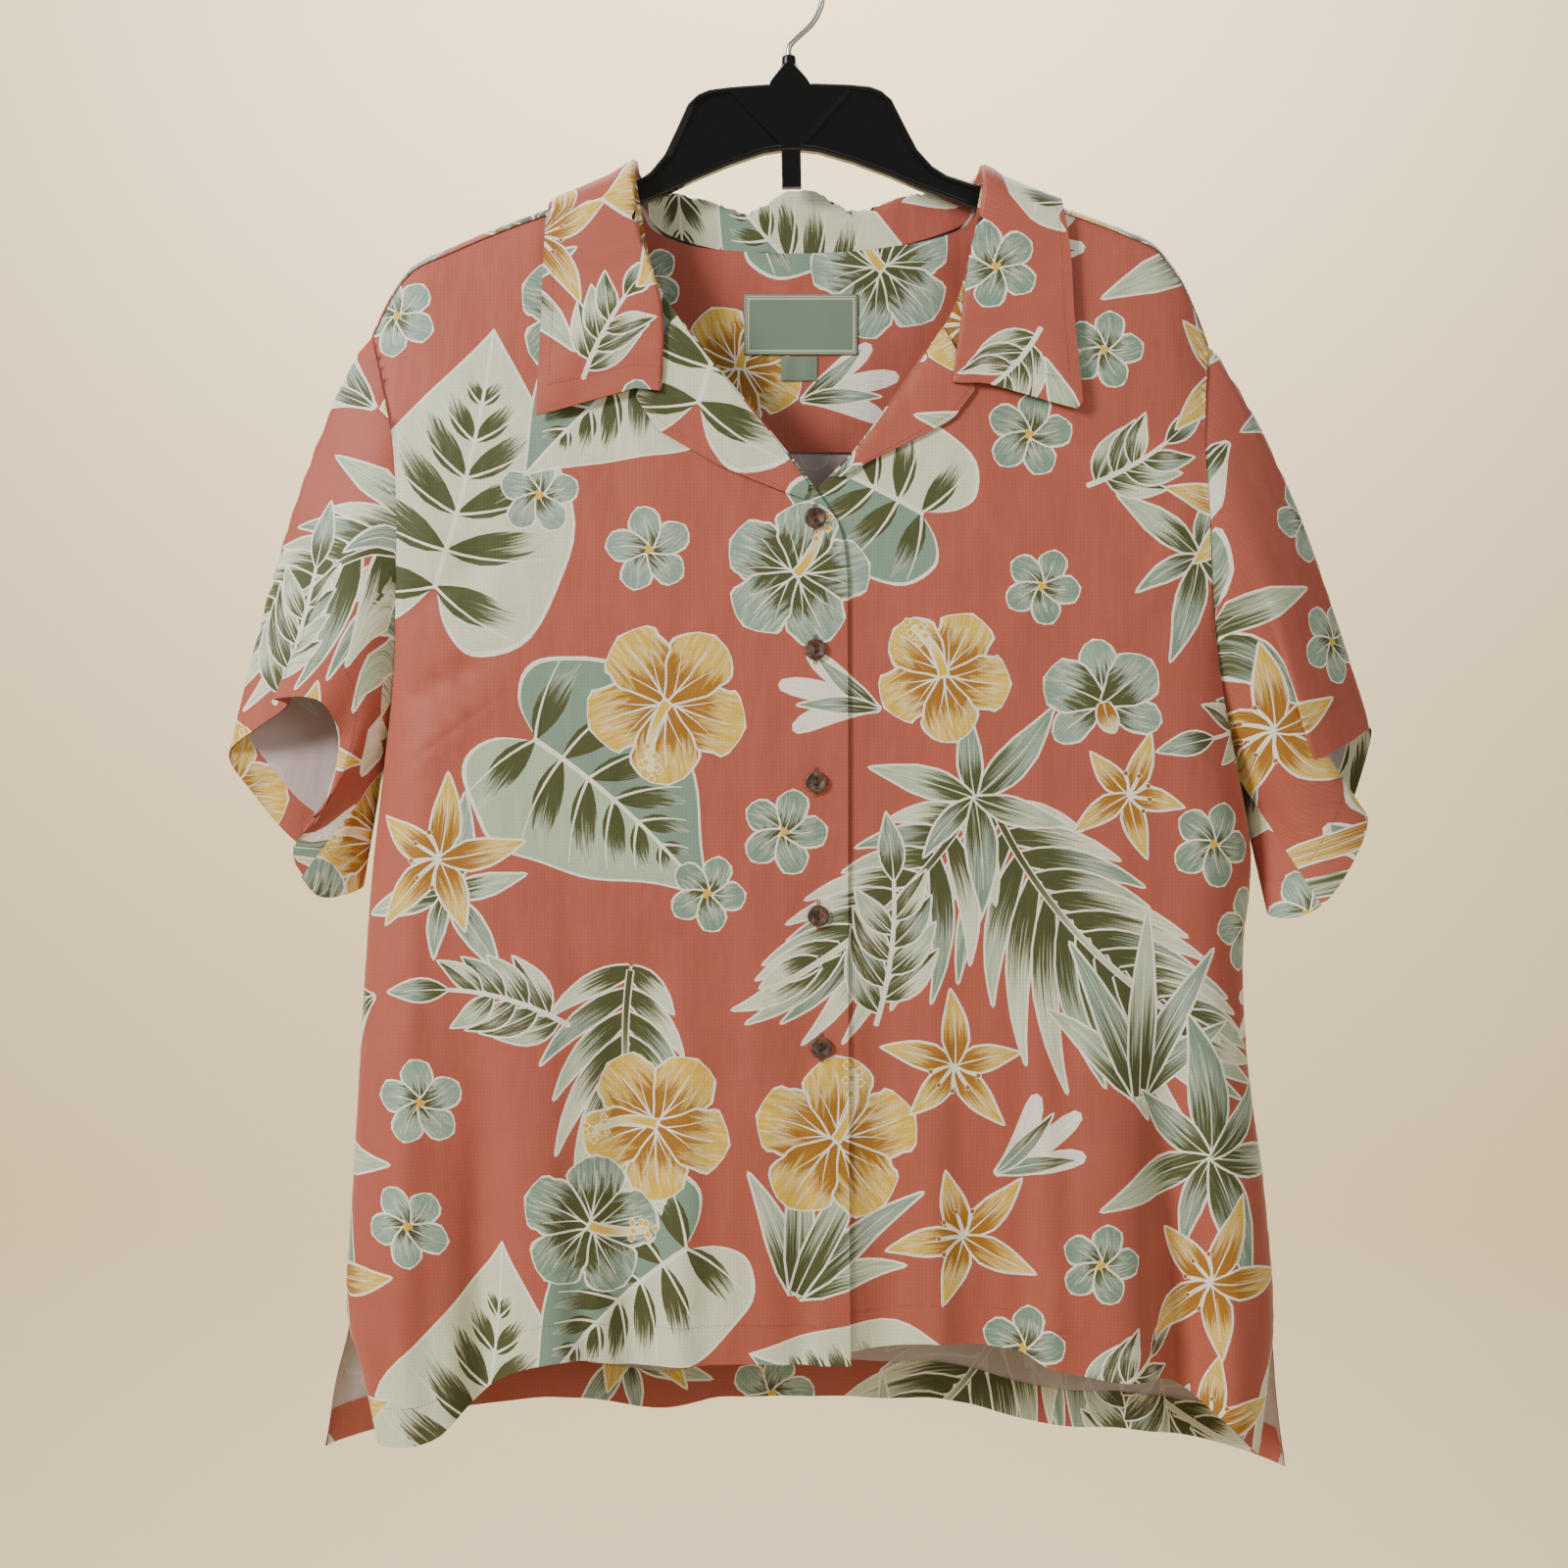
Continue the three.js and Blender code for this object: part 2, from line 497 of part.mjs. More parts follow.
// The nine points of the collar's section at one station, from the neck seam over the roll to the edge,
// each as x, length from the ridge and lift off the shirt's cloth
const SEAM_LIFT = 3.2; // of the turned-in part on the shirt's cloth
const LEAF_LIFT = 6;
function collarSection({ at, seam, roll, edge }) {
  const [edgeX, edgeZ, edgeSide] = edge;
  const away = Math.sign(edgeX - roll[0]);
  const endLength = lengthTo(edgeSide, edgeX, edgeZ);
  const fallTo = (startLength, startLift) => [0.3, 0.55, 0.8, 1].map((f) => [
    lerp(roll[0], edgeX, f), lerp(startLength, endLength, f), lerp(startLift, LEAF_LIFT, Math.sqrt(f))]);
  if (at === "ridge") {
    const [seamX] = seam;
    const [rollX, rise] = roll;
    return [
      [seamX, 0, SEAM_LIFT], [seamX - away * 0.8, 0, rise * 0.45], [rollX, 0, rise * 0.85],
      [rollX + away * 2, 0, rise + 1], [rollX + away * 7, 0, rise + 0.6], ...fallTo(0, rise),
    ];
  }
  const side = at === "front" ? -1 : 1;
  const seamLength = lengthTo(side, seam[0], seam[1]);
  const rollLength = lengthTo(side, roll[0], roll[1]);
  const along = (f) => [lerp(seam[0], roll[0], f), lerp(seamLength, rollLength, f)];
  if (at === "front") {
    return [
      [...along(0), SEAM_LIFT], [...along(0.6), SEAM_LIFT], [roll[0] + away * 1.2, rollLength, SEAM_LIFT],
      [roll[0], rollLength, (SEAM_LIFT + LEAF_LIFT) / 2], [roll[0] + away * 1.6, rollLength, LEAF_LIFT],
      ...fallTo(rollLength, LEAF_LIFT),
    ];
  }
  const lift = (f) => lerp(seam[2], roll[2], f);
  return [
    [...along(0), lift(0)], [...along(0.35), lift(0.3)], [...along(0.8), lift(0.8)],
    [...along(1), lift(1) + 2.2], [...along(0.84), lift(1) + 4.6],
    ...fallTo(lerp(seamLength, rollLength, 0.6), LEAF_LIFT + lift(0.6)),
  ];
}

function collar() {
  const sections = collarStations.map(collarSection);
  const lines = sections[0].map((_, k) => sections.map((section, t) => ({
    t, x: section[k][0], length: section[k][1], lift: section[k][2] })));
  const bend = (k) => collarStations[k].at === "ridge" || collarStations[k + 1].at === "ridge";
  const ts = collarStations.slice(1).flatMap((_, k) => {
    const count = bend(k) ? 5 : 2;
    return steps(count - 1).map((f) => k + (f * (count - 1)) / count);
  });
  const rows = [...ts, collarStations.length - 1].map((t) => lines.map((line) =>
    overShoulder(columnAt(line, "x", t), columnAt(line, "length", t), columnAt(line, "lift", t))));
  return clothWall(rows);
}

// Sleeves: rings from the armhole to the cuff. t runs from the top, down the front, round the underarm
// and up the back. The cuff tables give the open cuff with its folded flap.
const rightCuff = [
  { t: 0, x: -372, y: 6, z: -525 },
  { t: 0.08, x: -351, y: -6, z: -508 },
  { t: 0.15, x: -329, y: -13, z: -493 },
  { t: 0.21, x: -336, y: -23, z: -489 },
  { t: 0.3, x: -303, y: -32, z: -491 },
  { t: 0.36, x: -293, y: -22, z: -518 },
  { t: 0.42, x: -304, y: -22, z: -562 },
  { t: 0.47, x: -322, y: -27, z: -588 },
  { t: 0.53, x: -306, y: -25, z: -618 },
  { t: 0.6, x: -280, y: -7, z: -613 },
  { t: 0.7, x: -297, y: 8, z: -602 },
  { t: 0.8, x: -330, y: 11, z: -582 },
  { t: 0.9, x: -357, y: 11, z: -551 },
];
const leftCuff = [
  { t: 0, x: 389, y: 5, z: -508 },
  { t: 0.07, x: 373, y: -10, z: -516 },
  { t: 0.15, x: 345, y: -26, z: -532 },
  { t: 0.22, x: 353, y: -15, z: -547 },
  { t: 0.3, x: 378, y: -11, z: -560 },
  { t: 0.35, x: 380, y: -21, z: -572 },
  { t: 0.42, x: 366, y: -31, z: -600 },
  { t: 0.5, x: 348, y: -30, z: -624 },
  { t: 0.56, x: 328, y: -22, z: -633 },
  { t: 0.62, x: 317, y: -7, z: -629 },
  { t: 0.72, x: 344, y: 9, z: -610 },
  { t: 0.82, x: 372, y: 13, z: -571 },
  { t: 0.92, x: 386, y: 11, z: -532 },
];
function closed(table) {
  const last = table[table.length - 1];
  return [{ ...last, t: last.t - 1 }, ...table, { ...table[0], t: 1 }, { ...table[1], t: 1 + table[1].t }];
}

const SLEEVE_SHIFT = { right: 1.6, left: 2.3 }; // how far the first ring stands off the body
function armholePoint(side, t) {
  const table = side === "right" ? rightSide : leftSide;
  const outward = side === "right" ? -1 : 1;
  const up = Math.abs(1 - 2 * t);
  const v = lerp(UNDERARM, 1, up);
  const toTop = ease((1 - up) / 0.07);
  const toUnder = ease(up / 0.1);
  const face = t < 0.5 ? -1 : 1;
  const depth = columnAt(table, t < 0.5 ? "front" : "back", v) * toTop * toUnder;
  const drop = (1 - toUnder) * 3 - (1 - toTop) * 1.5;
  return new THREE.Vector3(
    columnAt(table, "x", v) + outward * SLEEVE_SHIFT[side], face * depth, columnAt(table, "z", v) - drop);
}

const SLEEVE_BULGE = { out: 13, front: 7 };
function sleevePoint(side, t, w) {
  const outward = side === "right" ? -1 : 1;
  const cuff = closed(side === "right" ? rightCuff : leftCuff);
  const end = new THREE.Vector3(...["x", "y", "z"].map((name) => columnAt(cuff, name, t)));
  const point = armholePoint(side, t).lerp(end, w);
  const swell = Math.sin(Math.PI * w ** 0.7);
  point.x += outward * SLEEVE_BULGE.out * swell * Math.cos(Math.PI * t) ** 2;
  point.y -= SLEEVE_BULGE.front * swell * Math.sin(2 * Math.PI * t);
  return point;
}

function sleeve(side) {
  const around = Array.from({ length: 30 }, (_, k) => k / 30);
  const down = [0, 0.06, 0.16, 0.3, 0.44, 0.58, 0.72, 0.86, 1];
  return clothWall(grid(around, down, (t, w) => sleevePoint(side, t, w)), { ring: true });
}

// Booleans on closed three.js geometries
const shapeOf = (points) => new THREE.Shape(points.map(([x, y]) => new THREE.Vector2(x, y)));
function solidOf(geometry) {
  const bare = geometry.clone();
  for (const name of ["normal", "uv"]) bare.deleteAttribute(name);
  const merged = mergeVertices(bare, 1e-4);
  return new wasm.Manifold(new wasm.Mesh({
    numProp: 3,
    vertProperties: merged.attributes.position.array,
    triVerts: new Uint32Array(merged.index.array),
  }));
}
function geometryOf(solid) {
  const mesh = solid.getMesh();
  const geometry = new THREE.BufferGeometry();
  geometry.setAttribute("position", new THREE.BufferAttribute(Float32Array.from(mesh.vertProperties), 3));
  geometry.setIndex(new THREE.BufferAttribute(mesh.triVerts, 1));
  return geometry;
}

// Buttons: turned discs with a dished well and two thread holes, one above the other
function buttonGeometry() {
  const { radius, thick, well, hole, holeOffset } = BUTTON;
  const profile = [
    [0, 0], [radius - 0.7, 0], [radius, 0.8], [radius, thick - 0.6], [radius - 0.8, thick],
    [well, thick], [well - 0.8, thick - 0.7], [0, thick - 0.7],
  ].map(([r, h]) => new THREE.Vector2(r, h));
  let disc = solidOf(new THREE.LatheGeometry(profile, 14));
  for (const offset of [-holeOffset, holeOffset]) {
    const cutter = new THREE.CylinderGeometry(hole, hole, thick * 3, 6).translate(0, thick / 2, offset);
    disc = disc.subtract(solidOf(cutter));
  }
  return geometryOf(disc).rotateZ(Math.PI);
}
const buttonPlaces = [
  { x: 18.4, z: -371.5 },
  { x: 18.4, z: -457.3 },
  { x: 19, z: -543.5 },
  { x: 20.3, z: -630.4 },
  { x: 22.2, z: -716 },
];
const BUTTON_STAND = CLOTH / 2 + 0.6; // the underside of a button, above the middle of the cloth

// Hanger: half outline of the plate, from the hub's side round the arm to the arch
const hangerArch = [[128, -168.6], [114, -162.5], [98, -156], [84.4, -150.8], [65, -142], [40.7, -132.3],
  [18.3, -125.2], [7, -123.7]];
function hangerHalf(inset) {
  const rows = hangerEdge.filter((row) => row.t < 225 && (inset === 0 || row.t > 30));
  const top = rows.map(({ t, z }) => {
    const slope = (columnAt(hangerEdge, "z", t + 1) - columnAt(hangerEdge, "z", t - 1)) / 2;
    const length = Math.hypot(1, slope);
    return [t + (inset * slope) / length, z - inset / length];
  });
  const armEnd = [[238 - inset, -191.6 - inset], [243 - inset, -198], [240 - inset, -206 + inset]];
  const lower = [225, 190, 158].map((t) => [
    t - inset, columnAt(hangerEdge, "z", t) - HANGER.armHeight + inset]);
  const arch = hangerArch.map(([x, z]) => [x, z + inset]);
  return [...top, ...armEnd, ...lower, ...arch];
}
function hangerPlate() {
  const half = hangerHalf(0);
  const outline = [...half, ...half.toReversed().map(([x, z]) => [-x, z])];
  const bevel = 1.5;
  const plate = new THREE.ExtrudeGeometry(shapeOf(outline), {
    depth: HANGER.thick - 2 * bevel, bevelEnabled: true, bevelThickness: bevel, bevelSize: bevel,
    bevelOffset: -bevel, bevelSegments: 1 });
  plate.translate(0, 0, bevel - HANGER.thick / 2);
  let solid = solidOf(plate);
  const pocketDepth = (HANGER.thick - HANGER.web) / 2;
  for (const mirror of [1, -1]) {
    const points = hangerHalf(HANGER.rim).map(([x, z]) => [mirror * x, z]);
    for (const low of [HANGER.web / 2, -HANGER.web / 2 - pocketDepth - 1]) {
      const pocket = new THREE.ExtrudeGeometry(shapeOf(points), { depth: pocketDepth + 1, bevelEnabled: false });
      solid = solid.subtract(solidOf(pocket.translate(0, 0, low)));
    }
  }
  const tab = new THREE.BoxGeometry(13, 30, 7).translate(0, -133, 0);
  const hubProfile = [[0, -86], [15.5, -82], [13, -77], [6.5, -68.5], [5, -66], [4.7, -60.8], [3.8, -59.8],
    [0, -59.8]].map(([r, z]) => new THREE.Vector2(r, z));
  const slab = new THREE.BoxGeometry(60, 60, HANGER.thick).translate(0, -75, 0);
  const hub = solidOf(new THREE.LatheGeometry(hubProfile, 16)).intersect(solidOf(slab));
  const bore = HOOK.wire / 2 + 0.6;
  const socket = new THREE.CylinderGeometry(bore, bore, 30, 12).translate(0, -60, 0);
  solid = solid.add(solidOf(tab)).add(hub).subtract(solidOf(socket));
  return geometryOf(solid).rotateX(Math.PI / 2);
}

// The hook: a shank in the hub, a lean to one side and a bow whose inside top is the origin
function hookGeometry() {
  const { radius, wire } = HOOK;
  const top = wire / 2 - radius;
  const bow = Array.from({ length: 10 }, (_, k) => {
    const angle = THREE.MathUtils.degToRad(-14 + k * 21);
    return [radius * Math.cos(angle), top + radius * Math.sin(angle)];
  });
  const points = [[0, -74.5], [0, -67], [0, -60], [0.2, -55], [2.5, -51], [16, -38.5], ...bow];
  const path = new THREE.CatmullRomCurve3(
    points.map(([x, z]) => new THREE.Vector3(x, 0, z)), false, "centripetal");
  const section = Array.from({ length: 8 }, (_, k) => {
    const angle = (k / 8) * 2 * Math.PI;
    return [(Math.cos(angle) * wire) / 2, (Math.sin(angle) * wire) / 2];
  });
  return new THREE.ExtrudeGeometry(shapeOf(section), { steps: 40, extrudePath: path });
}

// Materials, with the photo's colours
const material = (color, roughness, metalness = 0) =>
  new THREE.MeshStandardMaterial({ color, roughness, metalness });
const printedSilk = material(0xa85348, 0.75);
const wovenLabel = material(0x66786a, 0.8);
const coconutShell = material(0x5a4636, 0.5);
const blackPlastic = material(0x0b0b0c, 0.3);
const steelWire = material(0xa9a8a2, 0.3, 1);

const shirt = new THREE.Group();
function add(name, geometry, finish, group = shirt) {
  const mesh = new THREE.Mesh(geometry, finish);
  mesh.name = name;
  group.add(mesh);
  return mesh;
}

add("front_right", frontPanel("right"), printedSilk);
add("front_left", frontPanel("left"), printedSilk);
add("lapel_right", lapel("right", rightLapel), printedSilk);
add("lapel_left", lapel("left", leftLapel), printedSilk);
add("back", backPanel(), printedSilk);
add("yoke_outer", yokeOuter(), printedSilk);
add("yoke_inner", yokeInner(), printedSilk);
add("collar", collar(), printedSilk);
add("sleeve_right", sleeve("right"), printedSilk);
add("sleeve_left", sleeve("left"), printedSilk);
add("neck_label", label([-29, -255.7], [48, -215]), wovenLabel);
add("size_tab", label([-4, -273], [20.5, -256.7]), wovenLabel);
buttonPlaces.forEach(({ x, z }, k) => {
  const button = add(`button_${k + 1}`, buttonGeometry(), coconutShell);
  button.position.copy(onCloth(-1, x, z, BUTTON_STAND));
});

const hanger = new THREE.Group();
hanger.rotation.y = -HANGER.tilt;
shirt.add(hanger);
add("hanger_body", hangerPlate(), blackPlastic, hanger);
add("hanger_hook", hookGeometry(), steelWire, hanger);

export default shirt;
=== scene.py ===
# %% [markdown]
# # A printed camp shirt on its hanger
# The shirt hangs from a black hanger with a wire hook. The solids give its cut and its place. This lesson
# dresses them: thin printed silk in the place of the solid cloth, buttons of carved coconut shell, woven
# labels, a steel hook. Everything is worked out in millimetres, as a tailor measures, and turned to
# metres when a mesh is made.

# %% Load the frame
import math
import random

import bmesh
import bpy
import numpy as np
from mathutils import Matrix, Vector
from mathutils.bvhtree import BVHTree
from mathutils.geometry import delaunay_2d_cdt


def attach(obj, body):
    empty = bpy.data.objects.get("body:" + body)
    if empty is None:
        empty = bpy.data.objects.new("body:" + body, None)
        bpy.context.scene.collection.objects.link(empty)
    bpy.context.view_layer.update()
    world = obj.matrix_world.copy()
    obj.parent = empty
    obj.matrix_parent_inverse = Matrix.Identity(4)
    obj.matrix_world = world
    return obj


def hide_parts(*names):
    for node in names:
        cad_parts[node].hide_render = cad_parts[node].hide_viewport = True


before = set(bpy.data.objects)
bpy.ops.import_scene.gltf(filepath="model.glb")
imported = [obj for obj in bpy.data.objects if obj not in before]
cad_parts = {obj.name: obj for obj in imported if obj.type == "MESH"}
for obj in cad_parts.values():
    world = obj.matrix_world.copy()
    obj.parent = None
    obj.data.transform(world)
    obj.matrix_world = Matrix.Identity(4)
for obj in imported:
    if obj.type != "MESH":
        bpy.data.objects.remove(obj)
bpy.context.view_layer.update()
MM = 0.001

# %% [markdown]
# ## The camera
# The camera is taken to stand level with the middle of the shirt, a metre and a half from its front.
# Looking straight ahead from there, it gives the same square frame when its lens takes in 1024 mm at the
# front.

# %% Camera
SENSOR = 36  # mm
AWAY, FRONT_FACE, VIEW_WIDTH, MIDDLE = 1.500, 0.030, 1.024, (-0.002, -0.5448)  # metres; the middle is x and z
camera_data = bpy.data.cameras.new("camera")
camera_data.sensor_width = SENSOR
camera_data.lens = SENSOR * AWAY / VIEW_WIDTH
camera = bpy.data.objects.new("camera", camera_data)
camera.location = (MIDDLE[0], -AWAY - FRONT_FACE, MIDDLE[1])
camera.rotation_euler = (math.pi / 2, 0, 0)
bpy.context.scene.collection.objects.link(camera)
bpy.context.scene.camera = camera
print("lens, mm:", round(camera_data.lens, 2))

# %% [markdown]
# ## Tables of measurements
# A garment's edges are drawn through measured points, as with a flexible curve. Each table has one row a
# point. `column` draws the smooth curve through one of its columns, for many points at once.


# %% Reading a table
def table(names, rows):
    return dict(zip(names.split(), np.array(rows, float).T))


def column(rows, name, t, key="t"):
    ts, ys = rows[key], rows[name]
    k = np.arange(len(ts))
    before, after = np.maximum(k - 1, 0), np.minimum(k + 1, len(ts) - 1)
    slope = (ys[after] - ys[before]) / (ts[after] - ts[before])
    t = np.clip(np.asarray(t, float), ts[0], ts[-1])
    i = np.clip(np.searchsorted(ts, t, side="right") - 1, 0, len(ts) - 2)
    span = ts[i + 1] - ts[i]
    f = (t - ts[i]) / span
    bend = slope[i] * f * (1 - f) ** 2 - slope[i + 1] * f * f * (1 - f)
    return ys[i] + bend * span + (ys[i + 1] - ys[i]) * f * f * (3 - 2 * f)


def lerp(a, b, f):
    return a + (b - a) * f


def clamp01(f):
    return np.clip(f, 0.0, 1.0)


def ease(f):
    f = clamp01(f)
    return f * f * (3 - 2 * f)


# %% The shoulder ridge, where the cloth bends over the hanger
LAYER, RIDGE = 2.4, 10.0  # mm between two cloths that lie on each other, and the radius of the bend
QUARTER = RIDGE * math.pi / 2
SHOULDER_SEAM, SHOULDER_GAP, SEAM_GAP, YOKE_SEAM_Z = 4.7, 0.9, 0.5, -321.4
NECK = {"right": -99.6, "left": 128.4}
HANGER_SHIFT, HANGER_TILT, RIDGE_CLEAR = 3.2, 0.021, 3.3

hanger_edge = table("t z", [
    (15, -79.3), (40, -80.6), (53.8, -82.2), (61.1, -85.2), (67.6, -91.2), (75.8, -108.3), (83.9, -124.6),
    (93.7, -136), (102.9, -142.1), (128.3, -151), (158.8, -161.2), (193.5, -173.2), (216.9, -182.4),
                            (238, -191.6)])


def ridge_on_arm(x):
    return column(hanger_edge, "z", np.abs(x - HANGER_SHIFT)) + HANGER_TILT * x + RIDGE_CLEAR


right_drop = table("t z", [(-276, -245), (-266, -225), (-256.5, -209), (-244, -197),
                           (-225, float(ridge_on_arm(-225))), (-215, float(ridge_on_arm(-215)))])
left_drop = table("t z", [(225, float(ridge_on_arm(225))), (235, float(ridge_on_arm(235))),
                          (247, -188.5), (262, -209), (273, -233), (280, -252)])


def ridge_height(x):
    x = np.asarray(x, float)
    f = (x - NECK["right"]) / (NECK["left"] - NECK["right"])
    level = lerp(ridge_on_arm(NECK["right"]), ridge_on_arm(NECK["left"]), f)
    z = np.where((x < NECK["right"]) | (x > NECK["left"]), ridge_on_arm(x), level)
    z = np.where(x < -225, column(right_drop, "z", x), z)
    return np.where(x > 235, column(left_drop, "z", x), z)


print("ridge at the neck points, mm:", ridge_height(np.array([NECK["right"], NECK["left"]])).round(1))

# %% Side seams and armholes, from the hem at t 0 to the shoulder tip at t 1
side_seam = {
    "right": table("t x z front backX back", [
        (0, -268, -978, 24, -310, 12), (0.06, -279, -935, 14, -303, 8), (0.12, -292, -894, 2.2, -293, 2.2),
        (0.25, -288, -805, 1.1, -288, 1.1), (0.35, -284, -734, 1.1, -284, 1.1),
                                              (0.45, -280, -666, 1.1, -280, 1.1),
        (0.53, -276, -610, 1.1, -276, 1.1), (0.62, -267, -530, 3, -267, 3), (0.7, -259, -474, 17, -259, 14),
        (0.78, -256, -416, 26, -256, 20), (0.84, -255.5, -365, 27, -255.5, 20),
                                              (0.9, -259, -319, 22, -259, 17),
        (0.95, -266, -284, 15, -266, 12), (1, -275, -247, 6, -275, 6)]),
    "left": table("t x z front backX back", [
        (0, 311, -987, 14, 334, 6), (0.06, 318, -941, 8, 328, 4), (0.12, 323, -894, 2.2, 324, 2.2),
        (0.25, 316, -805, 1.1, 316, 1.1), (0.32, 309.5, -760, 1.1, 309.5, 1.1),
                                             (0.4, 305, -719, 1.1, 305, 1.1),
        (0.49, 303, -652, 1.1, 303, 1.1), (0.56, 308, -591, 1.4, 308, 1.4), (0.62, 298.5, -535, 5, 298.5, 4),
        (0.7, 286, -480, 19, 286, 14), (0.78, 278.5, -422, 27, 278.5, 20), (0.84, 276.5, -370, 28, 276.5, 20),
        (0.9, 274.5, -323, 22, 274.5, 17), (0.95, 276, -291, 15, 276, 12), (1, 279.5, -254, 6, 279.5, 6)]),
}

# %% [markdown]
# ## How the cloth hangs
# Silk hung from a bar falls in long vertical folds that grow towards the hem. Each fold is one row: where
# it is at its top and at the hem, where it starts, how deep it is and how wide. The fronts and the back
# are one surface each, given by its depth off the hanger's plane, so that everything that lies on them
# can be placed with them. The first seven front folds are the solids' own. The rows after them are the
# fine ones that only show in light.

# %% Folds and depth
HEM_REFERENCE = -930
front_folds = [  # x at the top, x at the hem, top, depth at the hem, half width
    (-210, -198, -640, -15, 17), (-180, -150, -520, 7, 26), (-110, -104, -560, -9, 20),
               (60, 66, -600, -6, 30),
    (130, 138, -640, -8, 24), (205, 214, -560, 9, 20), (240, 256, -600, -24, 18)]
fine_front_folds = [
    (-243, -246, -560, 4.4, 11), (-60, -66, -600, 4.0, 12), (-20, -24, -700, -2.6, 12),
                    (92, 101, -560, 4.2, 12),
    (165, 176, -600, 3.8, 11), (282, 291, -700, 4.2, 9), (-150, -128, -760, -3.6, 9),
                    (-205, -214, -620, 3.2, 10),
    (30, 27, -640, 2.4, 14)]
chance = random.Random(7)  # a fixed seed, so the cloth hangs the same each time
fine_front_folds += [(x, x + chance.uniform(-9, 9), chance.uniform(-660, -300),
                      chance.choice((-1, 1)) * chance.uniform(1.6, 3.4),
                      chance.uniform(7, 13)) for x in range(-236, 296, 31)]
back_folds = [(-170, -175, -500, -7, 30), (-30, -45, -520, -6, 40), (120, 125, -500, -8, 34)]
fine_back_folds = [(-240, -246, -560, 2.4, 18), (-100, -108, -560, 2.2, 20), (50, 44, -600, 2.0, 20),
                   (200, 214, -560, 2.6, 18)]
fine_back_folds += [(x, x + chance.uniform(-14, 14), chance.uniform(-640, -360),
                     chance.choice((-1, 1)) * chance.uniform(1.8, 3.8),
                     chance.uniform(9, 17)) for x in range(-260, 300, 40)]
# Slanting drag lines: from x, z to x, z, depth and half width
drag_lines = [(-268, -500, -180, -455, -2.6, 8), (-262, -440, -190, -395, -2.0, 9),
              (286, -505, 205, -455, -2.6, 8),
              (280, -440, 210, -400, -2.0, 9), (-120, -215, -170, -330, 1.8, 13),
              (160, -220, 196, -330, 1.8, 13),
              (-262, -320, -215, -420, 2.4, 9), (272, -330, 232, -440, 2.4, 9)]
# A bust dart is two such lines: a sharp crease, and the soft swell beside it
dart_lines = [(-275, -552, -181, -484, -1.5, 2.2), (-270, -548, -178, -480, 1.8, 9),
              (306, -548, 208, -500, -1.5, 2.2),
              (300, -545, 204, -497, 1.8, 9)]


def fold_depth(folds, x, z):
    total = np.zeros(np.broadcast(x, z).shape)
    for x_top, x_hem, top, depth, half in folds:
        f = clamp01((top - z) / (top - HEM_REFERENCE))
        total = total + depth * ease(f) * np.exp(-(((x - lerp(x_top, x_hem, f)) / half) ** 2))
    return total


def drag_depth(x, z):
    total = np.zeros(np.broadcast(x, z).shape)
    for x0, z0, x1, z1, depth, half in drag_lines + dart_lines:
        ux, uz = x1 - x0, z1 - z0
        long = math.hypot(ux, uz)
        along = ((x - x0) * ux + (z - z0) * uz) / long**2
        off = ((x - x0) * uz - (z - z0) * ux) / long / half
        total = total + depth * np.sin(np.pi * clamp01(along)) * np.exp(-off * off)
    return total


SIDE_ROUND = 42
hang = {-1: dict(full=38, fall=140, folds=front_folds + fine_front_folds, edge="x", seam="front"),
        1: dict(full=25, fall=80, folds=back_folds + fine_back_folds, edge="backX", seam="back")}


def depth_at(side, x, z):
    way = hang[side]
    x, z = np.broadcast_arrays(np.asarray(x, float), np.asarray(z, float))
    below = np.maximum(0, ridge_height(x) - z)
    cap = np.where(below < RIDGE, np.sqrt(np.maximum(RIDGE**2 - (RIDGE - below) ** 2, 0)) / RIDGE, 1)
    out = RIDGE + (way["full"] - RIDGE) * (1 - np.exp(-below / way["fall"])) + fold_depth(way["folds"], x, z)
    if side == -1:
        out = out + drag_depth(x, z)
    on_right = x < 10
    edge, seam = (np.where(on_right, column(side_seam["right"], name, z, "z"),
                           column(side_seam["left"], name, z, "z")) for name in (way["edge"], way["seam"]))
    turn = np.sqrt(1 - (1 - clamp01(np.abs(edge - x) / SIDE_ROUND)) ** 2)
    return cap * lerp(seam, out, turn)


def on_cloth(side, x, z, lift=0.0):
    step = 2.0
    slope_x = (depth_at(side, x + step, z) - depth_at(side, x - step, z)) / (2 * step)
    slope_z = (depth_at(side, x, z + step) - depth_at(side, x, z - step)) / (2 * step)
    normal = np.stack([-slope_x, np.full_like(slope_x, side), -slope_z], -1)
    normal /= np.linalg.norm(normal, axis=-1, keepdims=True)
    depth = depth_at(side, x, z)
    point = np.stack(np.broadcast_arrays(x + 0.0 * depth, side * depth, z + 0.0 * depth), -1)
    return point + normal * np.asarray(lift)[..., None]


def over_shoulder(x, length, lift):
    x, length, lift = np.broadcast_arrays(*(np.asarray(v, float) for v in (x, length, lift)))
    result = np.zeros(x.shape + (3,))
    angle = np.abs(length) / RIDGE
    for side in (-1, 1):
        mine = (length < 0) if side < 0 else (length >= 0)
        flat = mine & (np.abs(length) >= QUARTER)
        bend = mine & ~flat
        if flat.any():
            z = ridge_height(x[flat]) - RIDGE - (np.abs(length[flat]) - QUARTER)
            result[flat] = on_cloth(side, x[flat], z, lift[flat])
        if bend.any():
            z = ridge_height(x[bend]) - RIDGE * (1 - np.cos(angle[bend]))
            normal = np.stack([0 * z, side * np.sin(angle[bend]), np.cos(angle[bend])], -1)
            point = np.stack([x[bend], side * depth_at(side, x[bend], z), z], -1)
            result[bend] = point + normal * lift[bend][:, None]
    return result


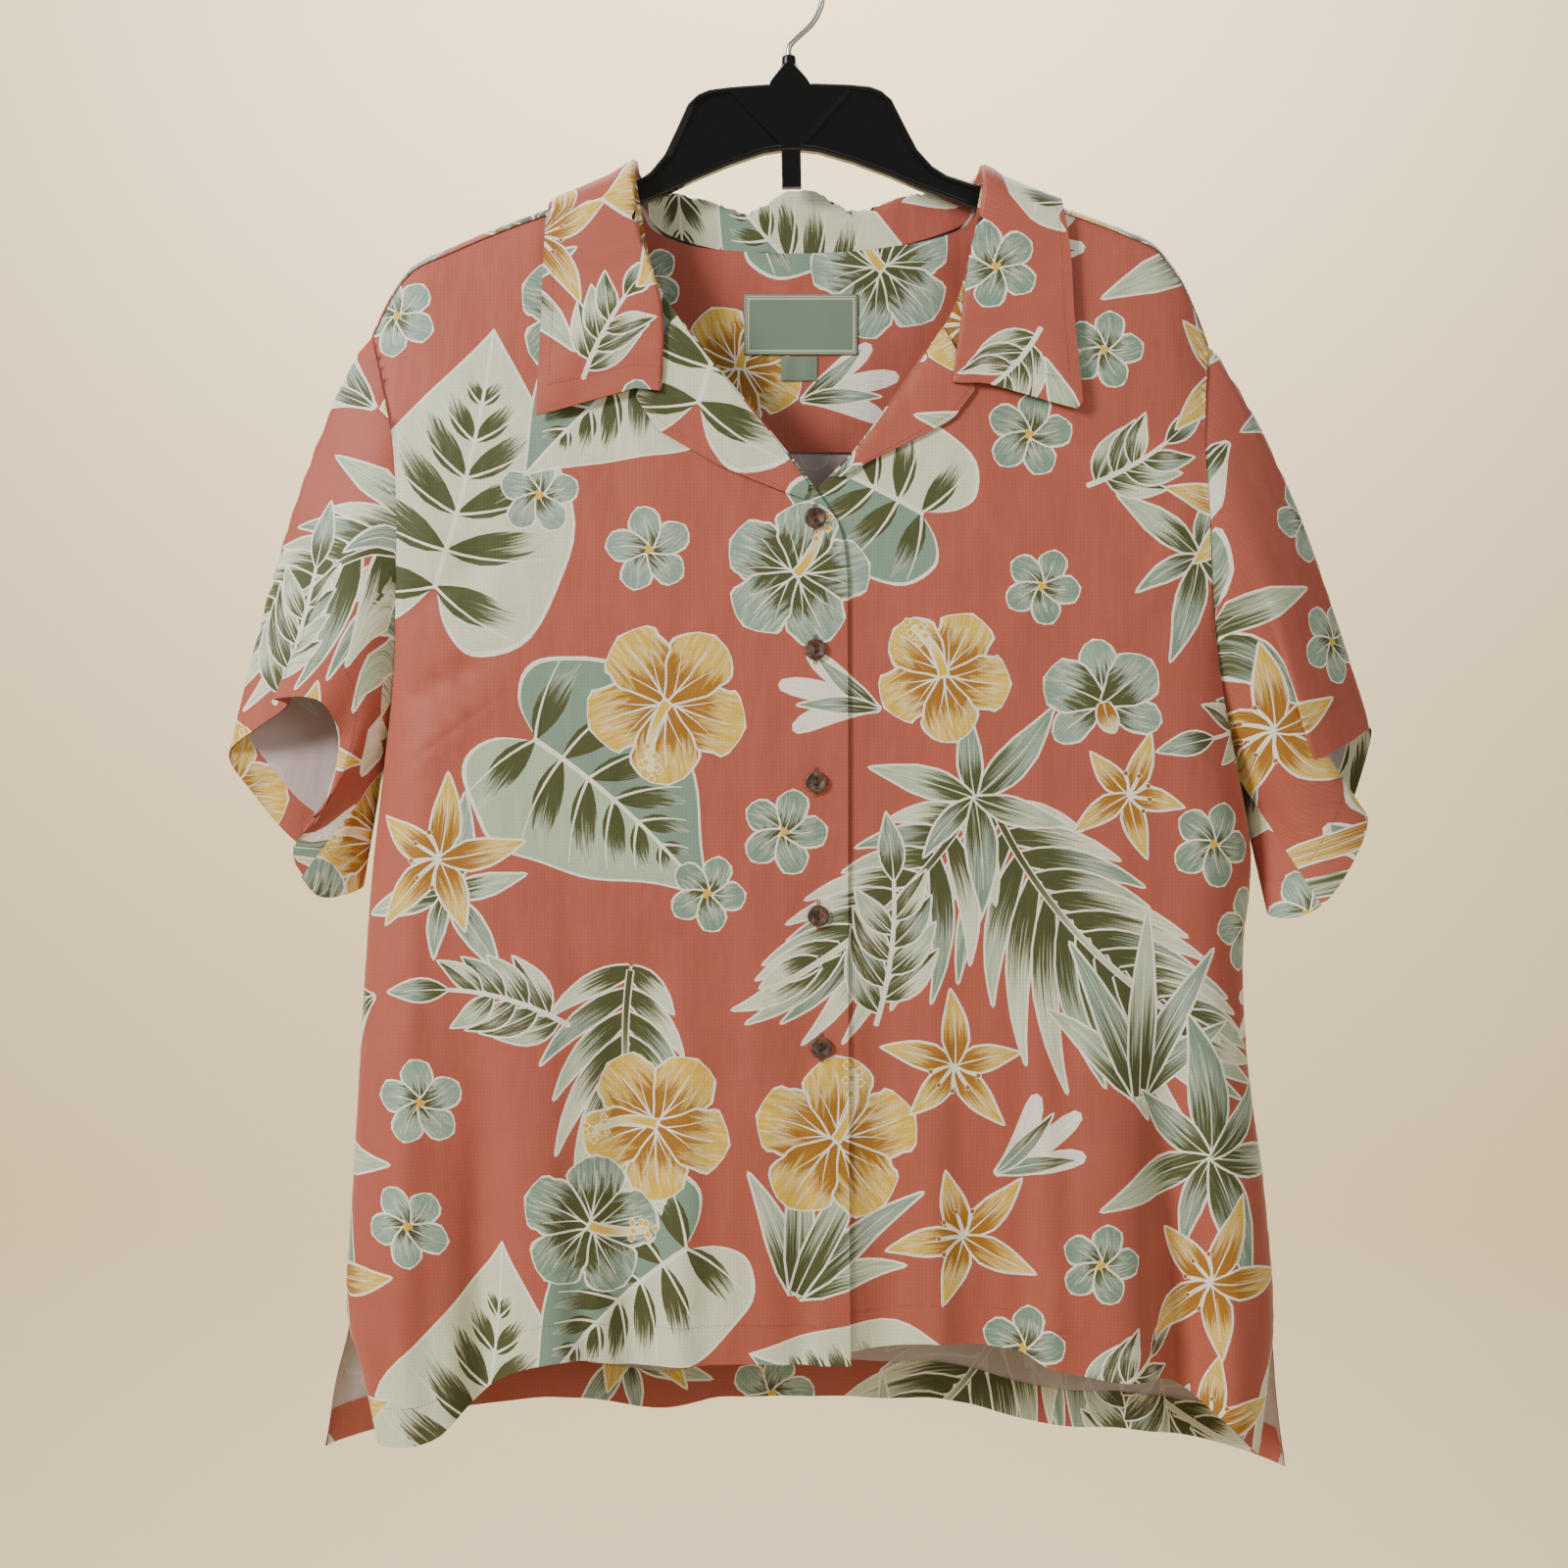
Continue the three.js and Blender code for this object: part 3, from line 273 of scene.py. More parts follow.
def length_to(side, x, z):
    below = ridge_height(x) - z
    near = RIDGE * np.arccos(np.clip(1 - np.maximum(below, 0) / RIDGE, -1, 1))
    return side * np.where(below < RIDGE, near, below - RIDGE + QUARTER)


print("front's depth at the chest, mm:", float(depth_at(-1, 100.0, -450.0).round(1)))

# %% [markdown]
# ## The cut pieces as grids
# Every cut piece is first a fine grid of points in space, made from its own edges. The fronts and the
# back are patches blended from their four edges, the yoke and collar run over the shoulder, and a sleeve
# is a ring that is opened flat at its underarm seam.

# %% Edges of the fronts and the back
neck_drop = SHOULDER_SEAM + SHOULDER_GAP
free_edge = {
    "right": table("t x z", [
        (0, 41.3, -923), (0.12, 40.7, -853), (0.45, 39.7, -640), (0.7, 39.3, -451), (0.78, 36.8, -387),
        (0.84, 19.9, -354), (0.9, -18, -305), (0.95, -62, -250), (0.98, -88, -208),
        (1, NECK["right"], float(ridge_height(NECK["right"])) - neck_drop)]),
    "left": table("t x z", [
        (0, -2.6, -919.5), (0.12, -2.6, -854), (0.45, -2.6, -640), (0.7, -2.2, -451), (0.78, 1, -394),
        (0.84, 15, -358), (0.9, 46, -323.5), (0.95, 86, -267), (0.98, 113, -224),
        (1, NECK["left"], float(ridge_height(NECK["left"])) - neck_drop)]),
}
front_hem = {
    "right": table("t x z", [(0, -268, -978), (0.13, -229, -971), (0.2, -206, -949), (0.28, -181, -929),
                             (0.39, -145, -919.5), (0.53, -104, -924), (0.77, -28, -922), (1, 41.3, -923)]),
    "left": table("t x z",
                  [(0, 311, -987), (0.1, 284, -959), (0.2, 252, -937), (0.33, 208, -931), (0.45, 168, -923),
                            (0.5, 152, -914), (0.68, 97, -909), (0.8, 62, -912), (1, -2.6, -919.5)]),
}
back_hem = table("t x z", [(0, -310, -989), (0.08, -270, -979), (0.22, -170, -958), (0.35, -85, -966),
                           (0.42, -41, -958), (0.58, 64, -960), (0.66, 116, -961), (0.75, 177, -978),
                           (0.88, 264, -984), (1, 334, -1002)])


def patch(side, edge, hem, top, u, v):
    """A blend of four edges, each a function of its own t that returns x and z."""
    u, v = np.meshgrid(u, v, indexing="ij")
    flat = []
    for k in (0, 1):
        across = lerp(side(v)[k], edge(v)[k], u)
        up = lerp(hem(u)[k], top(u)[k], v)
        corners = lerp(lerp(side(0)[k], edge(0)[k], u), lerp(side(1)[k], edge(1)[k], u), v)
        flat.append(across + up - corners)
    return flat


def edge_of(rows, name="x"):
    return lambda t: (column(rows, name, t), column(rows, "z", t))


# %% Grids of the fronts and the back
UNDERLAP = 2.6


def under(side, x):
    """How far the left front lies under the right one."""
    return UNDERLAP * ease((115 - x) / 60) if side == "left" else 0.0 * x


def front_grid(side):
    tip = float(column(side_seam[side], "x", 1))

    def shoulder(t):
        x = lerp(tip, NECK[side], t)
        return x, ridge_height(x) - neck_drop

    u, v = np.linspace(0, 1, 120) ** 1.45, np.linspace(0, 1, 190)
    x, z = patch(edge_of(side_seam[side]), edge_of(free_edge[side]), edge_of(front_hem[side]), shoulder, u, v)
    points = on_cloth(-1, x, z)
    points[..., 1] += under(side, x)
    return points


def back_grid():
    def side(rows):
        def at(t):
            s = 0.9 * np.asarray(t, float)
            return column(rows, "backX", s), lerp(column(rows, "z", s), YOKE_SEAM_Z, ease((t - 0.8) / 0.2))
        return at

    right, left = side(side_seam["right"]), side(side_seam["left"])
    seam = lambda t: (lerp(right(1)[0], left(1)[0], t), 0 * t + YOKE_SEAM_Z)
    s = np.linspace(-1, 1, 210)
    u = 0.5 + 0.5 * np.sign(s) * (1 - (1 - np.abs(s)) ** 1.35)
    v = np.linspace(0, 1, 150)
    x, z = patch(right, left, edge_of(back_hem), seam, u, v)
    return on_cloth(1, x, np.minimum(z, YOKE_SEAM_Z - 60 * (1 - v)))


grids = {"front_right": front_grid("right"), "front_left": front_grid("left"), "back": back_grid()}
print({name: grid.shape[:2] for name, grid in grids.items()})

# %% Grids of the yoke and its lining
neck_seam = table("t z",
                  [(NECK["right"], -158), (-92, -173), (-78, -180.5), (-61, -185.5), (-38, -188), (-2, -190),
                          (41, -188.7), (74, -185), (99, -180.5), (122, -170.5), (NECK["left"], -158)])
shoulder_end = -(RIDGE * math.acos(1 - SHOULDER_SEAM / RIDGE))
neck_turn = table("t foot top end",
                  [(0, 0, 0, shoulder_end), (1, 3, 0.4, -3), (2, 6, 0.8, 2.5), (3, 9, 1.3, 8),
                                     (4, 12, 2, 14), (5, 15, 3.6, 23)])


LAP, LAP_LIFT = 2.0, 0.95  # the yoke's turned-in edges lie on the fronts and the back


def lap_lift(lengths, foot_length):
    return LAP_LIFT * (ease(1 - (foot_length - lengths) / 8) + ease(1 - (lengths - shoulder_end + LAP) / 6))


def yoke_column(foot_at, top_x, end, count):
    """One column of the yoke, from its seam over the ridge. foot_at gives x from height and part of the way up."""
    foot_length = float(length_to(1, top_x, YOKE_SEAM_Z - LAP))
    lengths = np.concatenate([np.linspace(foot_length, QUARTER, count, endpoint=False),
                              np.linspace(QUARTER, shoulder_end, 16)])
    f = (foot_length - lengths) / (foot_length - shoulder_end)
    own = lerp(foot_length, end, f)
    z = ridge_height(top_x) - RIDGE - (own - QUARTER)
    at_bend = (foot_length - QUARTER) / (foot_length - min(end, QUARTER))
    x = foot_at(z, np.minimum(f / at_bend, 1))
    lift = LAP_LIFT * ease(1 - (foot_length - own) / 8)
    return np.where((own > QUARTER)[:, None], on_cloth(1, x, z, lift), over_shoulder(x, own, lift))


def yoke_grid():
    columns = []

    def shoulder_side(side, us):
        rows = side_seam[side]
        for u in us:
            top_x = float(lerp(column(rows, "x", -240, "z"), NECK[side], u))
            foot_at = lambda z, f, u=u: lerp(column(rows, "x", z, "z"), NECK[side], u)
            foot_length = float(length_to(1, top_x, YOKE_SEAM_Z - LAP))
            lengths = np.concatenate([np.linspace(foot_length, QUARTER, 34, endpoint=False),
                                      np.linspace(QUARTER, shoulder_end - LAP, 16)])
            z = ridge_height(top_x) - RIDGE - (lengths - QUARTER)
            steep = lengths > QUARTER
            x = np.where(steep, foot_at(z, 0), top_x)
            lift = lap_lift(lengths, foot_length)
            columns.append(np.where(steep[:, None], on_cloth(1, x, z, lift),
                                    over_shoulder(top_x + 0 * x, lengths, lift)))

    def neck_side(x_foot, x_top, end):
        foot_at = lambda z, f: lerp(x_foot, x_top, f)
        columns.append(yoke_column(foot_at, x_top, end, 34))

    shoulder_side("right", np.linspace(0, 1, 46) ** 1.3)
    for t in np.linspace(0.4, 5, 12):
        foot, top, end = (float(column(neck_turn, name, t)) for name in ("foot", "top", "end"))
        neck_side(NECK["right"] + foot, NECK["right"] + top, end)
    for x in np.linspace(-84, 113, 44):
        neck_side(float(x), float(x), float(length_to(1, x, column(neck_seam, "z", x))))
    for t in np.linspace(5, 0.4, 12):
        foot, top, end = (float(column(neck_turn, name, t)) for name in ("foot", "top", "end"))
        neck_side(NECK["left"] - foot, NECK["left"] - top, end)
    shoulder_side("left", (np.linspace(0, 1, 46) ** 1.3)[::-1])
    return np.stack(columns)


def lining_grid():
    x, v = np.meshgrid(np.linspace(-218, 222, 110), np.linspace(0, 1, 40), indexing="ij")
    in_neck = (x > NECK["right"]) & (x < NECK["left"])
    top = np.where(in_neck, column(neck_seam, "z", x) + 2.2, ridge_height(x) - 16)
    return on_cloth(1, x, lerp(YOKE_SEAM_Z + SEAM_GAP, top, v),
                    -LAYER + 1.3 * ease((v - 0.9) / 0.1) * in_neck)


grids["yoke_outer"], grids["yoke_inner"] = yoke_grid(), lining_grid()
print("yoke:", grids["yoke_outer"].shape[:2])

# %% Grids of the sleeves
cuffs = {
    "right": [(0, -372, 6, -525), (0.08, -351, -6, -508), (0.15, -329, -13, -493), (0.21, -336, -23, -489),
              (0.3, -303, -32, -491), (0.36, -293, -22, -518), (0.42, -304, -22, -562),
              (0.47, -322, -27, -588),
              (0.53, -306, -25, -618), (0.6, -280, -7, -613), (0.7, -297, 8, -602), (0.8, -330, 11, -582),
              (0.9, -357, 11, -551)],
    "left": [(0, 389, 5, -508), (0.07, 373, -10, -516), (0.15, 345, -26, -532), (0.22, 353, -15, -547),
             (0.3, 378, -11, -560), (0.35, 380, -21, -572), (0.42, 366, -31, -600), (0.5, 348, -30, -624),
             (0.56, 328, -22, -633), (0.62, 317, -7, -629), (0.72, 344, 9, -610), (0.82, 372, 13, -571),
             (0.92, 386, 11, -532)],
}
UNDERARM = 0.62


def sleeve_grid(side):
    outward = -1 if side == "right" else 1
    rows = side_seam[side]
    ring = cuffs[side]
    ring = table("t x y z",
                 [(ring[-1][0] - 1, *ring[-1][1:]), *ring, (1, *ring[0][1:]), (1 + ring[1][0], *ring[1][1:])])
    # opened at the underarm: along the back up to the top, then down the front
    t_open = np.linspace(-0.5, 0.5, 151)
    t, w = np.meshgrid(t_open % 1.0, np.linspace(0, 1, 64), indexing="ij")
    up = np.abs(1 - 2 * t)
    v = lerp(UNDERARM, 1, up)
    to_top, to_under = ease((1 - up) / 0.07), ease(up / 0.1)
    face = np.where(t < 0.5, -1, 1)
    tip = float(ridge_height(column(rows, "x", 1.0)))
    z = column(rows, "z", v) + (1 - to_top) * (tip - float(column(rows, "z", 1.0)))
    bend = np.sqrt(1 - (1 - clamp01((tip - z) / RIDGE)) ** 2)
    depth = np.where(t < 0.5, column(rows, "front", v), column(rows, "back", v)) * bend * to_under
    start = np.stack([column(rows, "x", v) - outward * 0.6, face * np.maximum(depth - 0.9, depth * 0.8),
                      z - 0.3 - (1 - to_under) * 3], -1)
    end = np.stack([column(ring, name, t) for name in "xyz"], -1)
    points = lerp(start, end, w[..., None])
    swell = np.sin(np.pi * w**0.7)
    points[..., 0] += outward * (13 * swell * np.cos(np.pi * t) ** 2 + 1.2 * ease(w / 0.03))
    points[..., 1] -= 7 * swell * np.sin(2 * np.pi * t)
    return points


grids["sleeve_right"], grids["sleeve_left"] = sleeve_grid("right"), sleeve_grid("left")
print("sleeves:", grids["sleeve_right"].shape[:2])

# %% Grid of the collar
SEAM_LIFT, LEAF_LIFT = 3.2, 6.0
collar_stations = [  # where, neck seam, roll, outer edge, as in the solid
    ("front", (-86, -285), (-81.5, -289), (-163, -305, -1)),
                   ("front", (-86, -243), (-80.5, -243), (-161, -250, -1)),
    ("front", (-93, -212), (-86.5, -213), (-160, -215, -1)),
                   ("front", (-104, -180), (-97, -178), (-159, -188, -1)),
    ("ridge", (-103, 0), (-99, 11.5), (-158, -172, -1)),
                   ("back", (-99, -150, 3), (-95, -145, 6), (-150, -186, 1)),
    ("back", (-90, -168, 2.4), (-87, -147, 5), (-128, -206, 1)),
                   ("back", (-72, -178.5, 1), (-71, -149, 4), (-92, -218, 1)),
    ("back", (-44, -185.5, 0), (-44, -155, 3), (-54, -224, 1)),
                   ("back", (-26, -187, 0), (-26, -160.5, 2), (-30, -226, 1)),
    ("back", (-4, -188, 0), (-4, -149, 3), (-4, -226, 1)),
                   ("back", (22, -187.5, 0), (22, -149, 3), (24, -226, 1)),
    ("back", (46, -186.5, 0), (46, -159, 2), (54, -226, 1)),
                   ("back", (76, -182.5, 0), (75, -151, 3), (94, -222, 1)),
    ("back", (103, -175, 1), (101, -149, 5), (134, -212, 1)),
                   ("back", (120, -167, 2.4), (117, -148, 5), (162, -200, 1)),
    ("back", (128, -151, 3), (124, -146, 6), (176, -187, 1)),
                   ("ridge", (132, 0), (128, 11.5), (183, -172, -1)),
    ("front", (133.5, -176), (126.5, -170), (185, -188, -1)),
                   ("front", (125.5, -199), (119.5, -199), (186.5, -206, -1)),
    ("front", (120, -240), (114, -240), (188, -246, -1)),
                   ("front", (113, -280), (107, -284), (192.5, -302, -1))]


def collar_section(where, seam, roll, edge):
    """Nine points from the neck seam over the roll to the edge: x, length from the ridge and lift off the cloth."""
    away = np.sign(edge[0] - roll[0])
    end = float(length_to(edge[2], edge[0], edge[1]))

    def fall(start, lift):
        return [(lerp(roll[0], edge[0], f), lerp(start, end, f), lerp(lift, LEAF_LIFT, math.sqrt(f)))
                for f in (0.3, 0.55, 0.8, 1)]

    if where == "ridge":
        rise = roll[1]
        return [(seam[0], 0, SEAM_LIFT), (seam[0] - away * 0.8, 0, rise * 0.45), (roll[0], 0, rise * 0.85),
                (roll[0] + away * 2, 0, rise + 1), (roll[0] + away * 7, 0, rise + 0.6), *fall(0, rise)]
    side = -1 if where == "front" else 1
    seam_length, roll_length = (float(length_to(side, p[0], p[1])) for p in (seam, roll))
    along = lambda f: (lerp(seam[0], roll[0], f), lerp(seam_length, roll_length, f))
    if where == "front":
        return [(*along(0), SEAM_LIFT), (*along(0.6), SEAM_LIFT),
                (roll[0] + away * 1.2, roll_length, SEAM_LIFT),
                (roll[0], roll_length, (SEAM_LIFT + LEAF_LIFT) / 2),
                (roll[0] + away * 1.6, roll_length, LEAF_LIFT),
                *fall(roll_length, LEAF_LIFT)]
    lift = lambda f: lerp(seam[2], roll[2], f)
    return [(*along(0), lift(0)), (*along(0.35), lift(0.3)), (*along(0.8), lift(0.8)),
            (*along(1), lift(1) + 2.2),
            (*along(0.84), lift(1) + 4.6), *fall(lerp(seam_length, roll_length, 0.6), LEAF_LIFT + lift(0.6))]


def collar_grid():
    sections = np.array([collar_section(*station) for station in collar_stations], float)
    stations = np.arange(len(sections), dtype=float)
    ts = np.linspace(0, len(sections) - 1, 22 * 9)
    lines = np.stack([np.stack([column({"t": stations, "v": sections[:, k, c]}, "v", ts) for c in range(3)],
                               -1)
                      for k in range(9)], 1)  # station, point of the section, coordinate
    ks = np.concatenate([np.linspace(0, 4, 17), np.linspace(4, 8, 18)[1:]])
    fine = np.stack([np.stack([np.interp(ks, np.arange(9.0), line[:, c]) for c in range(3)],
                              -1) for line in lines])
    return over_shoulder(fine[..., 0], fine[..., 1], fine[..., 2])


grids["collar"] = collar_grid()

# %% Grids of the lapels, the fronts' facings turned out along the roll line
lapels = {
    "right": table("t rollX rollZ outX outZ", [(0, 14, -349, 13, -360), (0.25, -10, -317, -14, -350),
                                               (0.5, -37, -284, -43, -338), (0.8, -60, -255, -85, -313.5),
                                               (1, -73.5, -236, -99, -292)]),
    "left": table("t rollX rollZ outX outZ", [(0, 31, -343, 35, -346), (0.25, 52, -318, 54, -334),
                                              (0.5, 70, -293, 77, -323), (0.8, 90, -264, 108, -307),
                                              (1, 102, -245, 124, -286)]),
}


def lapel_grid(side):
    rows = lapels[side]
    t, v = np.meshgrid(np.linspace(0, 1, 50), np.linspace(0, 1, 24), indexing="ij")
    straight = lambda name: np.interp(t, rows["t"], rows[name])
    x, z = (lerp(lerp(straight("roll" + c), column(rows, "roll" + c, t), 0.5), straight("out" + c),
                 v) for c in "XZ")
    points = on_cloth(-1, x, z, LAYER * (0.55 + 0.45 * ease(v * 4)))
    points[..., 1] += under(side, x)
    return points


grids["lapel_right"], grids["lapel_left"] = lapel_grid("right"), lapel_grid("left")
print("lapels:", grids["lapel_right"].shape[:2])

# %% [markdown]
# ## Laying each piece flat
# The print was made on flat cloth, so each piece needs its own flat pattern, as a tailor cuts it. The
# fronts and the back are unrolled sideways: the distance across is measured along the cloth, in and out
# of its folds. The others are unrolled from their own middle line. These flat places, in millimetres, are
# also the weave's UV map.

# %% Unrolling
row_z, row_x = np.arange(-1016.0, -130, 4), np.arange(-352.0, 352.1, 2)
unrolled = {}
for side in (-1, 1):
    depth = depth_at(side, row_x[None, :], row_z[:, None])
    step = np.sqrt(np.diff(row_x)[None, :] ** 2 + np.diff(depth, axis=1) ** 2)
    across = np.concatenate([np.zeros((len(row_z), 1)), np.cumsum(step, 1)], 1)
    unrolled[side] = across - across[:, [int(np.argmin(np.abs(row_x - 10)))]]


def across_cloth(side, x, z):
    i, j = (x - row_x[0]) / 2, (z - row_z[0]) / 4
    i0, j0 = np.clip(i.astype(int), 0, len(row_x) - 2), np.clip(j.astype(int), 0, len(row_z) - 2)
    fi, fj, at = i - i0, j - j0, unrolled[side]
    return lerp(lerp(at[j0, i0], at[j0, i0 + 1], fi), lerp(at[j0 + 1, i0], at[j0 + 1, i0 + 1], fi), fj)


def lengths_along(points, axis):
    step = np.linalg.norm(np.diff(points, axis=axis), axis=-1)
    zero = np.zeros_like(np.take(step, [0], axis))
    return np.concatenate([zero, np.cumsum(step, axis)], axis)


def flat_of(name):
    points = grids[name]
    x, z = points[..., 0], points[..., 2]
    if name.startswith("front") or name.startswith("lapel"):
        return np.stack([across_cloth(-1, x, z), z], -1)
    if name in ("back", "yoke_inner"):
        return np.stack([-across_cloth(1, x, z), z], -1)
    if name == "yoke_outer":
        up = lengths_along(points, 1)
        return np.stack([-x, YOKE_SEAM_Z + up], -1)
    if name == "collar":
        middle = points[:, 26, :]
        along = lengths_along(middle[:, None, :], 0)
        section = lengths_along(points, 1)
        return np.stack([along + 0 * section, -section], -1)
    top = len(points) // 2  # a sleeve: its top line is the axis of the unrolling
    axis = points[top, -1] - points[top, 0]
    axis[1] = 0
    axis /= np.linalg.norm(axis)
    along = (points - points[top, 0]) @ axis
    step = np.diff(points, axis=0)
    step = np.sqrt(np.maximum((step**2).sum(-1) - (step @ axis) ** 2, 0.04))
    round_it = np.concatenate([np.zeros((1, points.shape[1])), np.cumsum(step, 0)], 0)
    round_it -= round_it[[top]]
    return np.stack([(1 if name == "sleeve_left" else -1) * -round_it, -along], -1)


flats = {name: flat_of(name) for name in grids}
print("flat sizes, mm:",
      {name: tuple((f.reshape(-1, 2).max(0) - f.reshape(-1, 2).min(0)).round()) for name, f in flats.items()})

# %% [markdown]
# ## The print
# A screen-printed tropical cloth: big flowers, fronds and leaves, each with a cream outline, on a
# terracotta ground. Nearly everything in such a print is one kind of shape, a blade that widens and
# narrows along a curved middle line: a petal, a leaf, a finger of a frond, a stem, a vein. So one
# function draws a blade, and small recipes put blades together. The flowers and leaves here are ordinary
# ones, laid out for this lesson.

# %% Inks
INK = {"ground": "AD5846", "cream": "F3EDDA", "sage": "7C9480", "olive": "4B4E28", "pale": "D9DBBB",
       "mist": "AFBE9F", "gold": "E2B73A", "amber": "A06A1C", "butter": "F0DC9A", "blue": "8BA391"}


def colour(code, alpha=1.0):
    """sRGB hex to linear."""
    parts = [int(code[k:k + 2], 16) / 255 for k in (0, 2, 4)]
    return (*(p / 12.92 if p <= 0.04045 else ((p + 0.055) / 1.055) ** 2.4 for p in parts), alpha)


# %% Points inside a closed outline
def inside(points, loop):
    x, y = points[:, 0], points[:, 1]
    odd = np.zeros(len(points), bool)
    for (x0, y0), (x1, y1) in zip(loop, np.roll(loop, -1, 0)):
        if y0 != y1:
            odd ^= ((y0 > y) != (y1 > y)) & (x < (x1 - x0) * (y - y0) / (y1 - y0) + x0)
    return odd


# %% One blade
WIDTHS = {  # half width along the blade, as parts of the widest
    "petal": ((0, 0.16), (0.18, 0.45), (0.42, 0.86), (0.66, 1.0), (0.82, 0.94), (0.93, 0.72), (1, 0.4)),
    "leaf": ((0, 0.08), (0.15, 0.6), (0.35, 1.0), (0.6, 0.86), (0.82, 0.42), (1, 0.02)),
    "finger": ((0, 0.5), (0.2, 0.95), (0.45, 1.0), (0.75, 0.55), (1, 0.02)),
    "stem": ((0, 1.0), (0.5, 0.8), (1, 0.55)),
    "drop": ((0, 0.5), (0.25, 0.9), (0.6, 1.0), (0.85, 0.7), (1, 0.25)),
}
SHAPES = []  # of one repeat: polygon, middle line, half width, ink, wash ink, reach of the wash, seed


def bowed(start, angle, length, bow, count=9):
    """A curved middle line: it leaves at an angle in degrees and turns by bow degrees on its way."""
    turns = np.radians(angle + bow * np.linspace(0, 1, count))
    step = length / (count - 1) * np.stack([np.cos(turns), np.sin(turns)], -1)
    return np.concatenate([[start], start + np.cumsum(step[:-1], 0)])


def sides(line, half, grow=0.0):
    """The closed outline of a blade round its middle line."""
    tangent = np.gradient(line, axis=0)
    tangent /= np.maximum(np.linalg.norm(tangent, axis=1, keepdims=True), 1e-6)
    normal = np.stack([-tangent[:, 1], tangent[:, 0]], -1)
    wide = half + grow
    ends = [line[0] - tangent[0] * grow,
            line[-1] + tangent[-1] * (grow * 1.6 if half[-1] < 1 else grow + half[-1] * 0.2)]
    up, down = line + normal * wide[:, None], line - normal * wide[:, None]
    return np.concatenate([[ends[0]], down, [ends[1]], up[::-1]])


def blade(line, width, kind, ink, wash=None, reach=0.5, outline=1.6, vein=0.0, wave=0.0, seed=0, dark=None):
    t = np.linspace(0, 1, len(line))
    rows = WIDTHS[kind]
    half = width * np.interp(t, [r[0] for r in rows], [r[1] for r in rows])
    if wave:
        half = half * (1 + wave * np.sin(t * 17 + seed) * t)
    if outline:
        SHAPES.append((sides(line, half, outline), line, width, "cream", "cream", 0, seed))
    SHAPES.append((sides(line, half), line, width, ink, wash or ink, reach, seed))
    if dark:
        SHAPES.append((np.concatenate([line, sides(line, half)[-len(line):]]), line, width, dark,
                       wash or ink, reach, seed + 3))
    if vein:
        part = line[: max(3, int(len(line) * 0.86))]
        SHAPES.append((sides(part, np.linspace(vein, vein * 0.35, len(part))), part, vein, "cream", "cream",
                       0, seed))


def dot(x, y, radius, ink, outline=0.0):
    line = bowed(np.array([x - radius, y]), 0, 2 * radius, 0, 5)
    half = radius * np.sqrt(np.maximum(1 - np.linspace(-1, 1, 5) ** 2, 0.04))
    if outline:
        SHAPES.append((sides(line, half, outline), line, radius, "cream", "cream", 0, 0))
    SHAPES.append((sides(line, half), line, radius, ink, ink, 0, 0))


# %% Flowers
def hibiscus(x, y, angle, size, ink, wash):
    centre = np.array([x, y], float)
    for k in (0, 2, 4, 1, 3):
        a = angle + 72 * k
        line = bowed(centre + 2 * np.array([math.cos(math.radians(a)), math.sin(math.radians(a))]), a - 9,
                     size, 16, 12)
        blade(line, size * 0.43, "petal", ink, wash, 0.62, 1.7, 0.8, 0.09, k * 3 + int(x))
        for off in (-20, 20):
            vein = bowed(line[1], a + off, size * 0.62, off * 0.5, 6)
            SHAPES.append((sides(vein, np.linspace(0.5, 0.15, 6)), vein, 0.5, "cream", "cream", 0, 0))
    a = angle + 36
    stamen = bowed(centre, a, size * 0.95, 46, 10)
    blade(stamen, 2.6, "stem", "butter", "gold", 0.5, 1.3)
    for k in range(8):
        tip = stamen[-1 - k // 3] + 5.5 * np.array([math.cos(k * 2.4), math.sin(k * 2.4)])
        dot(tip[0], tip[1], 1.9, "gold", 0.9)


def star_lily(x, y, angle, size, ink, wash, petals=6):
    centre = np.array([x, y], float)
    for k in range(petals):
        a = angle + 360 / petals * k
        blade(bowed(centre, a, size * (1.0, 0.86)[k % 2], (14, -10)[k % 2], 10), size * 0.17, "leaf", ink,
              wash, 0.55,
              1.6, 0.55, 0, k * 5 + int(y))
    for k in range(5):
        thread = bowed(centre, angle + 25 + 36 * k, size * 0.34, 20, 5)
        blade(thread, 0.6, "stem", "cream", None, 0, 0.5)
        dot(thread[-1][0], thread[-1][1], 1.5, "amber", 0.5)


def plumeria(x, y, angle, size, ink, wash):
    centre = np.array([x, y], float)
    for k in range(5):
        a = angle + 72 * k
        blade(bowed(centre, a - 14, size, 30, 8), size * 0.36, "petal", ink, wash, 0.4, 1.5, 0.4, 0.04,
              k + int(x))
    for k in range(3):
        dot(centre[0] + 1.6 * math.cos(2.1 * k), centre[1] + 1.6 * math.sin(2.1 * k), 1.8, "gold")


def orchid(x, y, angle, size, ink, wash):
    centre = np.array([x, y], float)
    for a, length, wide in ((0, 1, 0.3), (118, 0.95, 0.26), (-118, 0.95, 0.26), (58, 1.0, 0.42),
                            (-58, 1.0, 0.42)):
        blade(bowed(centre, angle + a - 6, size * length, 12, 9), size * wide, "petal", ink, wash, 0.55, 1.6,
              0.6, 0.07,
              int(a + x))
    blade(bowed(centre, angle + 180, size * 0.5, 24, 7), size * 0.16, "drop", "butter", "amber", 0.7, 1.3,
          0.4)


